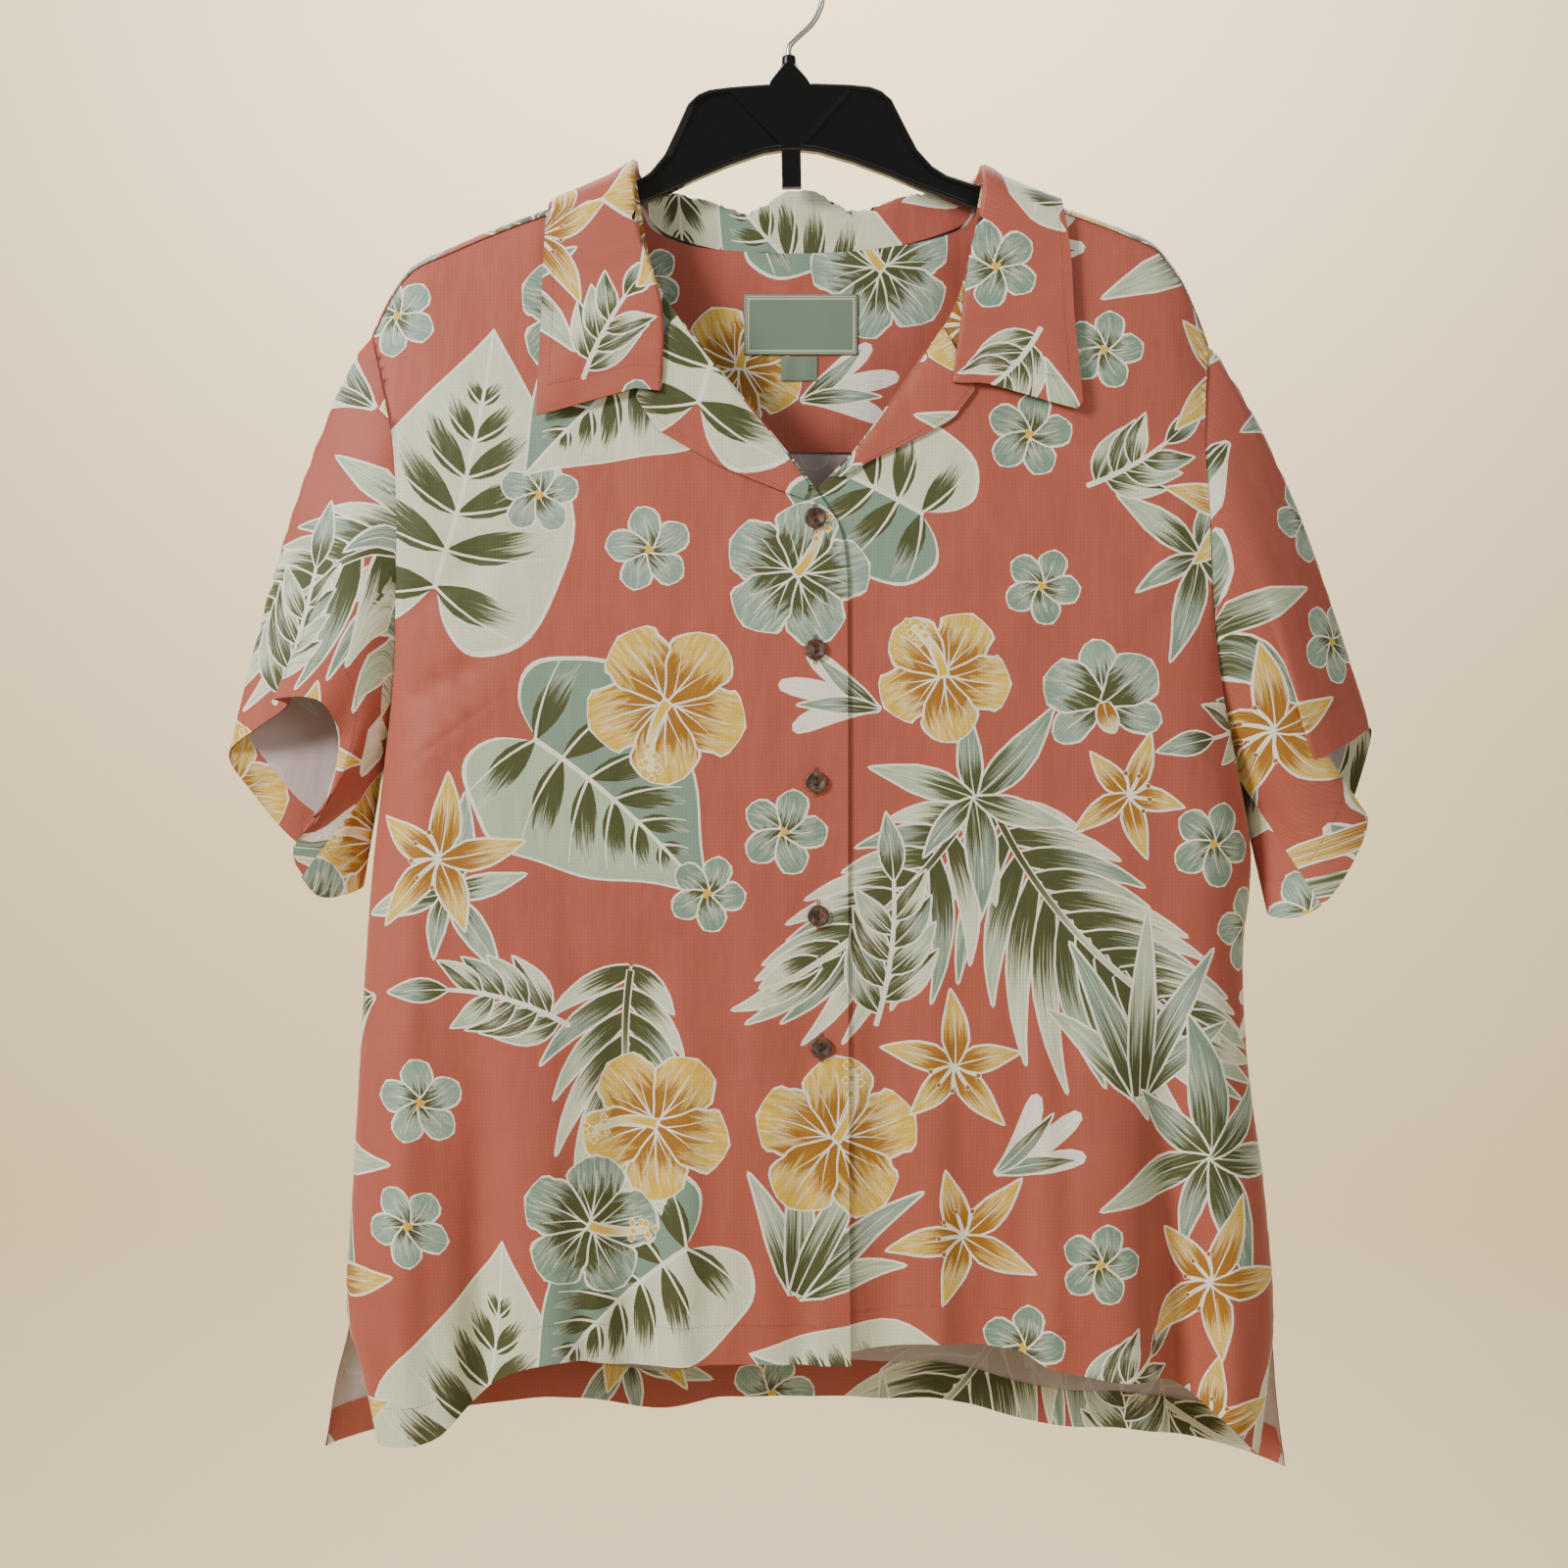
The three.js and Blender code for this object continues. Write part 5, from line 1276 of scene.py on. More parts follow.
    mesh.polygons.foreach_set("material_index", slots)
    mesh.polygons.foreach_set("use_smooth", np.ones(len(all_tris), bool))
    mesh.update()
    mesh.normals_split_custom_set_from_vertices(np.concatenate([normal, -normal]).tolist())
    piece = bpy.data.objects.new(name + "_silk", mesh)
    bpy.context.scene.collection.objects.link(piece)
    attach(piece, "root")
    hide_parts(name)
    triangle = points[tris]
    area = 0.5 * np.abs(np.cross(triangle[:, 1] - triangle[:, 0],
                                 triangle[:, 2] - triangle[:, 0])).sum() * 1e-6
    size = (points.max(0) - points.min(0)) * MM
    print(f"{piece.name}: {len(all_tris)} triangles, flat {size[0]:.3f} by {size[1]:.3f} m, {area:.4f} m2")
    return piece, tuple(float(s) for s in size), float(area)


# %% Fronts, back, yoke and lining
FRONT, BACK = np.array([0, -1.0, 0]), np.array([0, 1.0, 0])


def darts(x0, z0, x1, z1):
    """Lines in the net that let a bust dart's narrow crease show."""
    x, z = np.linspace(x0, x1, 30), np.linspace(z0, z1, 30)
    return [np.stack([across_cloth(-1, x, z + off), z + off], -1) for off in (-3.2, -1.4, 0.0, 1.4, 3.2)]


cloth_pieces = {}
cloth_pieces["front_right"] = printed_piece("front_right", FRONT, (40, 320), hem=0,
                                            creases=darts(-262, -543, -181, -484))
cloth_pieces["front_left"] = printed_piece("front_left", FRONT, (40, 320), hem=0,
                                           creases=darts(292, -541, 208, -500))
cloth_pieces["back"] = printed_piece("back", BACK, (320, 40), (7, 11), hem=0, least=1.1)
cloth_pieces["yoke_outer"] = printed_piece("yoke_outer", BACK, (150, 260), (7, 5))
cloth_pieces["yoke_inner"] = printed_piece("yoke_inner", FRONT, (90, 110), (7, 9))

# %% Sleeves, collar and lapels
for side in ("right", "left"):
    name = "sleeve_" + side
    grid = grids[name]
    cloth_pieces[name] = printed_piece(name, grid - grid.mean(0, keepdims=True),
                                       (60, 470) if side == "right" else (420, 300),
                                       (6, 8), hem=-1)
    cloth_pieces["lapel_" + side] = printed_piece("lapel_" + side, FRONT,
                                                  (500, 200) if side == "right" else (10, 90),
                                                  (5, 5), 1.2)
cloth_pieces["collar"] = printed_piece("collar", None, (210, 30), (6, 3.2), 1.3)
print("cloth:", round(sum(area for _, _, area in cloth_pieces.values()), 3), "m2")

# %% [markdown]
# ## Stitches
# A lockstitch shows as a row of short, slightly sunk thread ends, ten or so to the inch. Modelling each
# by hand would be hopeless, so Geometry Nodes lays a small bead of thread on every point of a seam line.
# The lines are read from the same nets as the cloth, so the stitches sit on it everywhere.

# %% A node group that sews along lines
def sewing_group(name, material):
    group = bpy.data.node_groups.new(name, "GeometryNodeTree")
    face = group.interface
    face.new_socket("Geometry", in_out="INPUT", socket_type="NodeSocketGeometry")
    for title, start in (("Spacing", 0.0027), ("Stitch length", 0.0019), ("Thread radius", 0.00022),
                         ("Turn", 0.0)):
        face.new_socket(title, in_out="INPUT", socket_type="NodeSocketFloat").default_value = start
    face.new_socket("Geometry", in_out="OUTPUT", socket_type="NodeSocketGeometry")
    start = node(group, "NodeGroupInput").outputs
    lines = node(group, "GeometryNodeMeshToCurve", {"Mesh": start["Geometry"]})
    points = node(group, "GeometryNodeResampleCurve", {"Curve": lines.outputs[0]}, mode="LENGTH")
    group.links.new(start["Spacing"], points.inputs["Length"])
    tangent = node(group, "GeometryNodeInputTangent").outputs[0]
    turned = node(group, "FunctionNodeAlignRotationToVector", {"Vector": tangent}, axis="X")
    bead = node(group, "GeometryNodeMeshIcoSphere", {"Radius": 1.0, "Subdivisions": 1})
    half = node(group, "ShaderNodeMath", {0: start["Stitch length"], 1: 0.5}, operation="MULTIPLY").outputs[0]
    size = node(group, "ShaderNodeCombineXYZ",
                {0: half, 1: start["Thread radius"], 2: start["Thread radius"]}).outputs[0]
    sewn = node(group, "GeometryNodeInstanceOnPoints",
                {"Points": points.outputs[0], "Instance": bead.outputs[0],
                                                        "Rotation": turned.outputs[0], "Scale": size})
    quarter = node(group, "ShaderNodeCombineXYZ", {1: start["Turn"]}).outputs[0]
    across = node(group, "GeometryNodeRotateInstances", {"Instances": sewn.outputs[0], "Rotation": quarter})
    real = node(group, "GeometryNodeRealizeInstances", {"Geometry": across.outputs[0]})
    done = node(group, "GeometryNodeSetMaterial", {"Geometry": real.outputs[0], "Material": material})
    node(group, "NodeGroupOutput", {0: done.outputs[0]})
    return group


def sewn_piece(name, lines, group, slot, **sizes):
    """Sews along lines of points in millimetres and returns one plain mesh."""
    mesh = bpy.data.meshes.new(name + "_lines")
    verts, edges = [], []
    for line in lines:
        start = len(verts)
        verts += (np.asarray(line) * MM).tolist()
        edges += [(start + k, start + k + 1) for k in range(len(line) - 1)]
    mesh.from_pydata(verts, edges, [])
    maker = bpy.data.objects.new(name + "_maker", mesh)
    bpy.context.scene.collection.objects.link(maker)
    modifier = maker.modifiers.new("sew", "NODES")
    modifier.node_group = group
    sockets = {item.name: item.identifier for item in group.interface.items_tree if item.in_out == "INPUT"}
    for title, value in sizes.items():
        modifier[sockets[title.replace("_", " ")]] = value
    evaluated = maker.evaluated_get(bpy.context.evaluated_depsgraph_get())
    plain = bpy.data.meshes.new_from_object(evaluated)
    maker.modifiers.clear()
    bpy.data.objects.remove(maker)
    for polygon in plain.polygons:
        polygon.use_smooth = True
    piece = bpy.data.objects.new(name, plain)
    bpy.context.scene.collection.objects.link(piece)
    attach(piece, "root")
    print(f"{name}: {len(plain.polygons)} faces on {len(lines)} lines")
    return piece


# %% Thread
def thread(name, code):
    """Spun polyester sewing thread: a soft sheen and a fine twist."""
    material, tree = new_material(name)
    coordinates = node(tree, "ShaderNodeTexCoord").outputs["Object"]
    twist = node(tree, "ShaderNodeTexWave", {"Vector": coordinates, "Scale": 900.0, "Distortion": 2.0},
                 bands_direction="DIAGONAL").outputs["Fac"]
    shaded = node(tree, "ShaderNodeMapRange", {"Value": twist, "To Min": 0.85, "To Max": 1.1}).outputs[0]
    base = node(tree, "ShaderNodeHueSaturation", {"Value": shaded, "Color": colour(code)}).outputs[0]
    shade(tree, {"Base Color": base, "Roughness": 0.6, "Sheen Weight": 0.2})
    return material


ground_thread, dark_thread = thread("terracotta_thread", "93473C"), thread("brown_thread", "3B2A22")
sewing, dark_sewing = sewing_group("sew_lockstitch", ground_thread), sewing_group("sew_buttons", dark_thread)

# %% Seam lines
SEWN = 0.42  # mm that a thread's middle stands off the net
HEM_STITCH = {"front": 25.4, "back": 24.4, "sleeve": 26.5}  # mm from the edge to the hem's stitches


def front_line(side, xs, zs, lift=SEWN):
    points = on_cloth(-1, xs, zs, np.full(np.shape(xs), lift))
    points[:, 1] += under(side, xs)
    return points


def column_line(name, reach, sign, backwards=True):
    """A line a given reach into a piece from its last or first row, off its outer face."""
    grid = grids[name]
    normal = grid_normals(grid, (grid - grid.mean(0, keepdims=True)) if name.startswith("sleeve") else BACK)
    down = lengths_along(grid[:, ::-1] if backwards else grid, 1)
    pick = lambda values: np.array([[np.interp(reach, down[i],
                                               (values[:, ::-1] if backwards else values)[i, :, c])
                                     for c in range(3)] for i in range(len(grid))])
    return pick(grid) + pick(normal) * sign


seams = []
for side in ("right", "left"):
    t = np.linspace(0.02, 0.985, 150)
    seams.append(front_line(side, column(front_hem[side], "x", t),
                            column(front_hem[side], "z", t) + HEM_STITCH["front"]))
    seams.append(column_line("sleeve_" + side, HEM_STITCH["sleeve"], SEWN))
    xs = np.linspace(float(column(side_seam[side], "x", -240, "z")) * 0.985, NECK[side], 120)
    seams.append(over_shoulder(xs, np.full(120, shoulder_end - LAP + 1.6), 1.3))
t = np.linspace(0.01, 0.99, 260)
for lift in (0.4, -1.32):
    seams.append(on_cloth(1, column(back_hem, "x", t), column(back_hem, "z", t) + HEM_STITCH["back"],
                          np.full(260, lift)))
xs = np.linspace(-256, 272, 220)
seams.append(on_cloth(1, xs, np.full(220, YOKE_SEAM_Z - LAP + 1.8), np.full(220, LAP_LIFT + 0.4)))
collar_normal = grid_normals(grids["collar"], None)
COLLAR_ROW = 31  # of the collar's net, where its edge is stitched
seams.append(grids["collar"][4:-4, COLLAR_ROW] + collar_normal[4:-4, COLLAR_ROW] * SEWN)
for end in (3, -4):
    seams.append(grids["collar"][end, 14:32] + collar_normal[end, 14:32] * SEWN)
for side in ("right", "left"):
    rows = grids["lapel_" + side]
    seams.append((rows + grid_normals(rows, FRONT) * SEWN)[2:-2, -3])
sewn_piece("stitching", seams, sewing, "printed_silk", Spacing=0.0027, Stitch_length=0.0020,
           Thread_radius=0.00017)

# %% [markdown]
# ## Buttons
# Five buttons of coconut shell, 14 mm across. They are turned on a lathe: a flat rim, a dished well, two
# holes. The shell is dark brown with short pale fibres, and a low wax polish. The profile is spun, and
# the holes are cut by two small cylinders.


# %% One button
def coconut():
    material, tree = new_material("coconut_shell_polished")
    place = node(tree, "ShaderNodeTexCoord").outputs["Object"]
    stretched = node(tree, "ShaderNodeMapping", {"Vector": place, "Scale": (1.0, 1.0, 0.35)}).outputs[0]
    fibre = node(tree, "ShaderNodeTexNoise",
                 {"Vector": stretched, "Scale": 1500.0, "Detail": 4.0, "Roughness": 0.7}).outputs[0]
    cloud = node(tree, "ShaderNodeTexNoise", {"Vector": place, "Scale": 260.0, "Detail": 2.0}).outputs[0]
    mixed = node(tree, "ShaderNodeMath", {0: fibre, 1: cloud}, operation="MULTIPLY").outputs[0]
    ramp = node(tree, "ShaderNodeValToRGB", {"Fac": mixed})
    ramp.color_ramp.elements[0].position, ramp.color_ramp.elements[0].color = 0.16, colour("2A1A12")
    ramp.color_ramp.elements[1].position, ramp.color_ramp.elements[1].color = 0.42, colour("8A6A50")
    middle = ramp.color_ramp.elements.new(0.27)
    middle.color = colour("54392A")
    bump = node(tree, "ShaderNodeBump", {"Height": fibre, "Strength": 0.35, "Distance": 0.0001}).outputs[0]
    shade(tree,
          {"Base Color": ramp.outputs[0], "Roughness": 0.38, "Specular IOR Level": 0.5, "Coat Weight": 0.25,
                 "Coat Roughness": 0.3, "Normal": bump})
    return material


coconut_shell = coconut()
BUTTON_PROFILE = [(0, 0), (6.0, 0), (6.7, 0.3), (7.0, 0.9), (7.0, 1.7), (6.7, 2.2), (6.2, 2.4), (5.5, 2.38),
                  (5.2, 2.2),
                  (4.9, 2.3), (4.5, 2.28), (3.9, 1.95), (3.2, 1.72), (1.6, 1.66), (0, 1.66)]


def button_mesh():
    """Radius and height of each step of the profile, spun about Y, with its face to the front."""
    bm = bmesh.new()
    rings, count = [], 48
    for r, h in BUTTON_PROFILE:
        if r == 0:
            rings.append([bm.verts.new((0, -h * MM, 0))])
        else:
            rings.append([bm.verts.new((r * MM * math.cos(a), -h * MM, r * MM * math.sin(a)))
                          for a in np.linspace(0, 2 * math.pi, count, endpoint=False)])
    for low, high in zip(rings, rings[1:]):
        for k in range(count):
            j = (k + 1) % count
            corners = [low[k % len(low)], low[j % len(low)], high[j % len(high)], high[k % len(high)]]
            bm.faces.new(list(dict.fromkeys(corners)))
    bmesh.ops.recalc_face_normals(bm, faces=bm.faces)
    mesh = bpy.data.meshes.new("button_blank")
    bm.to_mesh(mesh)
    bm.clear()
    for z in (-1.7, 1.7):
        bmesh.ops.create_cone(bm, cap_ends=True, segments=16, radius1=0.95 * MM, radius2=0.95 * MM,
                              depth=8 * MM)
        for v in bm.verts:
            if not v.tag:
                v.co = Vector((v.co.x, v.co.z, v.co.y + z * MM))
                v.tag = True
    bmesh.ops.recalc_face_normals(bm, faces=bm.faces)
    drill = bpy.data.meshes.new("drill")
    bm.to_mesh(drill)
    bm.free()
    blank, tool = bpy.data.objects.new("blank", mesh), bpy.data.objects.new("tool", drill)
    for thing in (blank, tool):
        bpy.context.scene.collection.objects.link(thing)
    cut_out = blank.modifiers.new("holes", "BOOLEAN")
    cut_out.operation, cut_out.object, cut_out.solver = "DIFFERENCE", tool, "EXACT"
    done = bpy.data.meshes.new_from_object(blank.evaluated_get(bpy.context.evaluated_depsgraph_get()))
    for thing in (blank, tool):
        bpy.data.objects.remove(thing)
    return done


button_places = [(18.4, -371.5), (18.4, -457.3), (19.0, -543.5), (20.3, -630.4), (22.2, -716.0)]
BUTTON_STAND = 0.9
THREAD_ARCH = [(1.0, -1.9), (2.05, -1.1), (2.15, 0.0), (2.05, 1.1), (1.0, 1.9)]  # out of the cloth and up, mm
pattern_button = button_mesh()
button_threads, buttonholes = [], []
for k, (x, z) in enumerate(button_places):
    mesh = pattern_button.copy()
    centre = on_cloth(-1, np.array([x]), np.array([z]), np.array([BUTTON_STAND]))[0]
    turned = 0.12 * math.sin(2.3 * k)
    for v in mesh.vertices:
        px, py, pz = v.co
        v.co = (px * math.cos(turned) - pz * math.sin(turned) + centre[0] * MM, py + centre[1] * MM,
                px * math.sin(turned) + pz * math.cos(turned) + centre[2] * MM)
    mesh.materials.clear()
    mesh.materials.append(coconut_shell)
    for polygon in mesh.polygons:
        polygon.use_smooth = True
    mesh.set_sharp_from_angle(angle=math.radians(38))
    button = bpy.data.objects.new(f"coconut_button_{k + 1}", mesh)
    bpy.context.scene.collection.objects.link(button)
    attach(button, "root")
    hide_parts(f"button_{k + 1}")
    for off in (-0.45, 0.0, 0.45):
        button_threads.append([(centre[0] + off, centre[1] - out, centre[2] + up) for out, up in THREAD_ARCH])
    heights = np.linspace(z - 9.6, z + 9.6, 24)
    for off in (-0.75, 0.75):
        buttonholes.append(front_line("right", np.full(24, x + off), heights, 0.5))
print("buttons:", len(button_places), "with", len(pattern_button.polygons), "faces each")
sewn_piece("button_thread", button_threads, dark_sewing, "coconut_button", Spacing=0.0006,
           Stitch_length=0.0012,
           Thread_radius=0.00024)
sewn_piece("buttonholes", buttonholes, sewing, "printed_silk", Spacing=0.00055, Stitch_length=0.0013,
           Thread_radius=0.00024, Turn=math.pi / 2)

# %% [markdown]
# ## Labels
# A woven damask label and a small size tab, sewn to the lining at the back of the neck. They carry
# nothing but a plain woven border. They are thin, so a net of their own follows the lining, with a slight
# curl at the free edges.


# %% Label cloth
def label_cloth(name, width, height, border):
    """Damask weave in UV millimetres: fine ribs along the width, and a plain border in a second colour."""
    material, tree = new_material(name)
    uv = node(tree, "ShaderNodeUVMap", uv_map="cloth").outputs[0]
    place = node(tree, "ShaderNodeSeparateXYZ", {0: uv}).outputs
    ribs = node(tree, "ShaderNodeTexWave", {"Vector": uv, "Scale": 520.0, "Distortion": 0.6, "Detail": 1.0},
                bands_direction="Y").outputs["Fac"]
    twill = node(tree, "ShaderNodeTexWave", {"Vector": uv, "Scale": 420.0, "Distortion": 0.8},
                 bands_direction="DIAGONAL").outputs["Fac"]
    base = colour("71846F")
    tone = node(tree, "ShaderNodeMapRange", {"Value": ribs, "To Min": 0.8, "To Max": 1.15}).outputs[0]
    if border:
        near = []
        for axis, long in ((0, width), (1, height)):
            away = node(tree, "ShaderNodeMath", {0: place[axis], 1: long / 2 * MM},
                        operation="SUBTRACT").outputs[0]
            edge = node(tree, "ShaderNodeMath", {0: away}, operation="ABSOLUTE").outputs[0]
            near.append(node(tree, "ShaderNodeMath", {0: edge, 1: (long / 2 - border) * MM},
                             operation="SUBTRACT").outputs[0])
        out = node(tree, "ShaderNodeMath", {0: near[0], 1: near[1]}, operation="MAXIMUM").outputs[0]
        line = node(tree, "ShaderNodeMath", {0: out, 1: 0.0, 2: 0.5 * MM}, operation="COMPARE").outputs[0]
        second = node(tree, "ShaderNodeMath", {0: out, 1: 1.5 * MM, 2: 0.25 * MM},
                      operation="COMPARE").outputs[0]
        both = node(tree, "ShaderNodeMath", {0: line, 1: second}, operation="MAXIMUM").outputs[0]
        base = node(tree, "ShaderNodeMix", {0: both, 6: base, 7: colour("CFCBAE")},
                    data_type="RGBA").outputs[2]
    woven = node(tree, "ShaderNodeHueSaturation", {"Value": tone, "Color": base}).outputs[0]
    height_map = node(tree, "ShaderNodeMath", {0: ribs, 1: twill}, operation="ADD").outputs[0]
    bump = node(tree, "ShaderNodeBump",
                {"Height": height_map, "Strength": 0.4, "Distance": 0.00015}).outputs[0]
    shade(tree, {"Base Color": woven, "Roughness": 0.58, "Sheen Weight": 0.25, "Normal": bump})
    return material


def label(name, node_name, low, high, border):
    wide, tall = high[0] - low[0], high[1] - low[1]
    us, vs = np.linspace(0, 1, 44), np.linspace(0, 1, 22)
    u, v = np.meshgrid(us, vs, indexing="ij")
    x, z = lerp(low[0], high[0], u), lerp(low[1], high[1], v)
    wave = 0.35 * np.sin(u * 5.5 + v * 2) * (1 - v) + 0.2 * np.sin(u * 11)
    sheets = [on_cloth(1, x, z, -LAYER - 0.7 - wave - side) for side in (0.45, 0.0)]
    n0, n1 = u.shape
    verts = np.concatenate([sheet.reshape(-1, 3) for sheet in sheets]) * MM
    index = lambda s, i, j: s * n0 * n1 + i * n1 + j
    faces, uvs = [], []
    for i in range(n0 - 1):
        for j in range(n1 - 1):
            quad = [(i, j), (i + 1, j), (i + 1, j + 1), (i, j + 1)]
            faces.append([index(0, *c) for c in quad])
            uvs.append(quad)
            faces.append([index(1, *c) for c in quad[::-1]])
            uvs.append(quad[::-1])
    ring = [(i, 0) for i in range(n0)] + [(n0 - 1, j) for j in range(1, n1)] + [(i,
                                                                                 n1 - 1) for i in range(n0 - 2, -1, -1)] + \
           [(0, j) for j in range(n1 - 2, 0, -1)]
    for a, b in zip(ring, ring[1:] + ring[:1]):
        faces.append([index(0, *b), index(0, *a), index(1, *a), index(1, *b)])
        uvs.append([b, a, a, b])
    mesh = bpy.data.meshes.new(name)
    mesh.from_pydata(verts.tolist(), [], faces)
    layer = mesh.uv_layers.new(name="cloth")
    layer.data.foreach_set("uv",
                           np.array([[us[i] * wide * MM, vs[j] * tall * MM] for quad in uvs for i,
                                     j in quad]).ravel())
    for polygon in mesh.polygons:
        polygon.use_smooth = True
    mesh.materials.append(label_cloth(name + "_damask", wide, tall, border))
    piece = bpy.data.objects.new(name, mesh)
    bpy.context.scene.collection.objects.link(piece)
    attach(piece, "root")
    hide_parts(node_name)
    print(name, "mm:", wide, tall)
    return piece, (wide * MM, tall * MM), wide * tall * MM * MM


labels = {"neck_label": label("woven_neck_label", "neck_label", (-29, -255.7), (48, -215), 3.0),
          "size_tab": label("woven_size_tab", "size_tab", (-4, -273), (20.5, -256.7), 0)}
zs = np.linspace(-254.5, -216.2, 20)
label_seams = [on_cloth(1, np.full(20, x), zs, np.full(20, -LAYER - 1.35)) for x in (-27.6, 46.6)]
sewn_piece("label_stitching", label_seams, sewing, "woven_label", Spacing=0.0024, Stitch_length=0.0016,
           Thread_radius=0.0002)

# %% [markdown]
# ## Hanger and hook
# The hanger is injection-moulded polystyrene, black and glossy with a faint orange-peel ripple. Its solid
# has the right shape, so it stays and only gets this finish; the shader rounds its edges by a bevel of
# the normals. The hook is bent from 3.8 mm steel wire with a bright zinc plate. A round tube swept along
# the bend replaces the solid's eight-sided one.

# %% Moulded black polystyrene
black_plastic, tree = new_material("moulded_black_polystyrene")
place = node(tree, "ShaderNodeTexCoord").outputs["Object"]
ripple = node(tree, "ShaderNodeTexNoise", {"Vector": place, "Scale": 160.0, "Detail": 2.0}).outputs[0]
scuffs = node(tree, "ShaderNodeTexNoise",
              {"Vector": place, "Scale": 420.0, "Detail": 3.0, "Roughness": 0.7}).outputs[0]
rounded = node(tree, "ShaderNodeBevel", {"Radius": 0.0012}, samples=6).outputs[0]
bump = node(tree, "ShaderNodeBump",
            {"Height": ripple, "Strength": 0.06, "Distance": 0.0006, "Normal": rounded}).outputs[0]
rough = node(tree, "ShaderNodeMapRange", {"Value": scuffs, "To Min": 0.16, "To Max": 0.3}).outputs[0]
tint = node(tree, "ShaderNodeMapRange", {"Value": scuffs, "To Min": 0.8, "To Max": 1.3}).outputs[0]
black = node(tree, "ShaderNodeHueSaturation", {"Value": tint, "Color": colour("070708")}).outputs[0]
shade(tree, {"Base Color": black, "Roughness": rough, "Specular IOR Level": 0.5, "Normal": bump})
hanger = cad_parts["hanger_body"]
hanger.data.materials.clear()
hanger.data.materials.append(black_plastic)

# %% Zinc-plated wire
steel, tree = new_material("zinc_plated_steel_wire")
place = node(tree, "ShaderNodeTexCoord").outputs["Object"]
drawn = node(tree, "ShaderNodeTexNoise", {"Vector": place, "Scale": 700.0, "Detail": 3.0}).outputs[0]
rough = node(tree, "ShaderNodeMapRange", {"Value": drawn, "To Min": 0.2, "To Max": 0.36}).outputs[0]
tint = node(tree, "ShaderNodeMapRange", {"Value": drawn, "To Min": 0.9, "To Max": 1.06}).outputs[0]
base = node(tree, "ShaderNodeHueSaturation", {"Value": tint, "Color": colour("C4C3BD")}).outputs[0]
shade(tree, {"Base Color": base, "Metallic": 1.0, "Roughness": rough})

# %% The hook's tube
WIRE, BOW = 3.8, 23.0
bow = [(BOW * math.cos(math.radians(a)),
        WIRE / 2 - BOW + BOW * math.sin(math.radians(a))) for a in np.arange(-14, 176, 21)]
bends = np.array([(0, -74.5), (0, -67), (0, -60), (0.2, -55), (2.5, -51), (16, -38.5), *bow])
gone = np.concatenate([[0], np.cumsum(np.sqrt(np.linalg.norm(np.diff(bends, axis=0), axis=1)))])
ways = {"t": gone, "x": bends[:, 0], "z": bends[:, 1]}
t = np.linspace(0, gone[-1], 150)
path = np.stack([column(ways, "x", t), column(ways, "z", t)], -1)
lean = HANGER_TILT
path = np.stack([path[:, 0] * math.cos(lean) - path[:, 1] * math.sin(lean),
                 0 * t, path[:, 0] * math.sin(lean) + path[:, 1] * math.cos(lean)], -1)
curve = bpy.data.curves.new("hook_line", "CURVE")
curve.dimensions, curve.bevel_depth, curve.bevel_resolution, curve.use_fill_caps = "3D", WIRE / 2 * MM, 8, True
spline = curve.splines.new("POLY")
spline.points.add(len(path) - 1)
for point, place in zip(spline.points, path * MM):
    point.co = (*place, 1)
maker = bpy.data.objects.new("hook_maker", curve)
bpy.context.scene.collection.objects.link(maker)
mesh = bpy.data.meshes.new_from_object(maker.evaluated_get(bpy.context.evaluated_depsgraph_get()))
bpy.data.objects.remove(maker)
mesh.materials.clear()
mesh.materials.append(steel)
bm = bmesh.new()
bm.from_mesh(mesh)
bmesh.ops.remove_doubles(bm, verts=bm.verts, dist=1e-6)
bmesh.ops.recalc_face_normals(bm, faces=bm.faces)
bm.to_mesh(mesh)
bm.free()
for polygon in mesh.polygons:
    polygon.use_smooth = len(polygon.vertices) == 4
hook = bpy.data.objects.new("hook_wire", mesh)
bpy.context.scene.collection.objects.link(hook)
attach(hook, "root")
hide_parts("hanger_hook")
print("hook:", len(mesh.polygons), "faces")

# %% [markdown]
# ## Light and ground
# A shirt hung up in a room is lit mostly from one side. One small bright softbox on the left draws the
# folds, a weak one in front keeps the shadows open, and two behind light the back and the pale sweep, a
# floor that curves up into a backdrop far behind the shirt. From the sides and from behind, the edge of
# the floor shows.

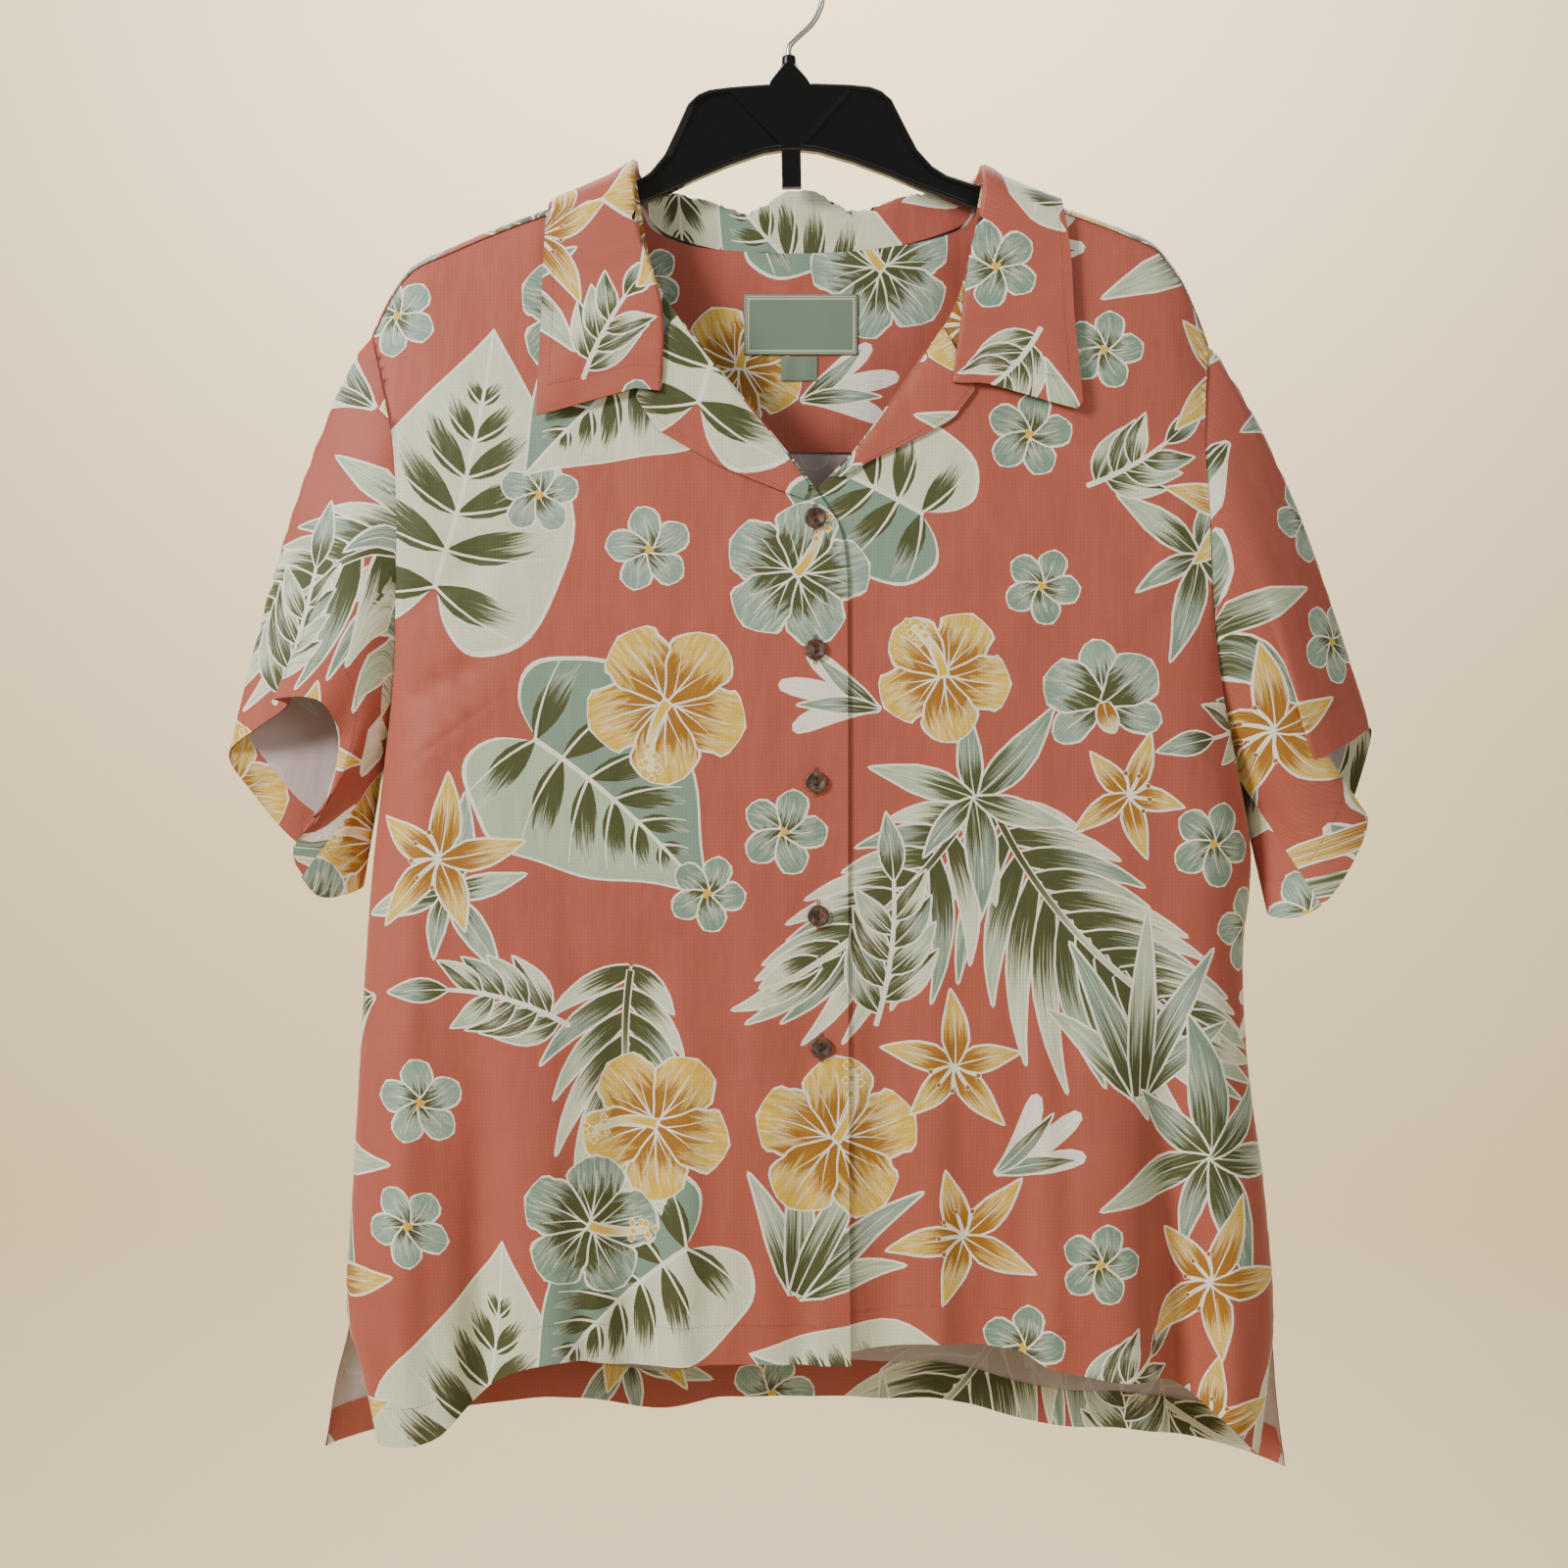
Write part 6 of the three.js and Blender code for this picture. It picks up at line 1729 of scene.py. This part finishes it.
# %% Light and sweep
world = bpy.data.worlds.new("soft_grey")
world.use_nodes = True
world.node_tree.nodes["Background"].inputs[0].default_value = colour("F4F1EA")
world.node_tree.nodes["Background"].inputs[1].default_value = 0.28
bpy.context.scene.world = world


def area_light(name, place, size, power, aim=(0, 0, -0.55)):
    data = bpy.data.lights.new(name, "AREA")
    data.shape, data.size, data.size_y, data.energy = "RECTANGLE", size[0], size[1], power
    lamp = bpy.data.objects.new(name, data)
    lamp.location = place
    lamp.rotation_euler = (Vector(aim) - Vector(place)).to_track_quat("-Z", "Y").to_euler()
    bpy.context.scene.collection.objects.link(lamp)


area_light("key_softbox", (-2.0, -1.55, 0.65), (0.7, 0.7), 88)
area_light("fill_softbox", (1.6, -2.4, 0.1), (1.2, 1.2), 17)
area_light("top_softbox", (0.2, -0.3, 1.6), (1.6, 1.0), 10)
area_light("back_softbox", (1.2, 2.0, 0.9), (1.6, 1.2), 26)
area_light("backdrop_softbox", (0.0, 1.3, 1.7), (2.6, 0.8), 150, (0, 2.9, -0.7))

mesh = bpy.data.meshes.new("cove")
profile = [(-4.0, -2.3), (1.9, -2.3)] + [(2.0 + 0.9 * math.sin(a), -1.4 - 0.9 * math.cos(a)) for a in
                                         np.radians(np.arange(5, 90, 7))] + [(2.9, -1.3), (2.9, 2.6)]
verts = [(x, y, z) for x in (-4.5, 4.5) for y, z in profile]
faces = [(k, k + 1, k + 1 + len(profile), k + len(profile)) for k in range(len(profile) - 1)]
mesh.from_pydata(verts, [], faces)
for polygon in mesh.polygons:
    polygon.use_smooth = True
cove = bpy.data.objects.new("cove", mesh)
bpy.context.scene.collection.objects.link(cove)
painted, tree = new_material("matt_cove_paint")
shade(tree, {"Base Color": colour("EFDBB0"), "Roughness": 0.9})
mesh.materials.append(painted)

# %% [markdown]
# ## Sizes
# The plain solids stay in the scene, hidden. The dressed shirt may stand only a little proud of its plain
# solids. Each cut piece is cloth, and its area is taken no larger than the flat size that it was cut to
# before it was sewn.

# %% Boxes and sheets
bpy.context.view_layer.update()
for name, (piece, size, area) in {**cloth_pieces, **labels}.items():
    area = min(area, size[0] * size[1])
    max(area, 0.3 * size[0] * size[1])
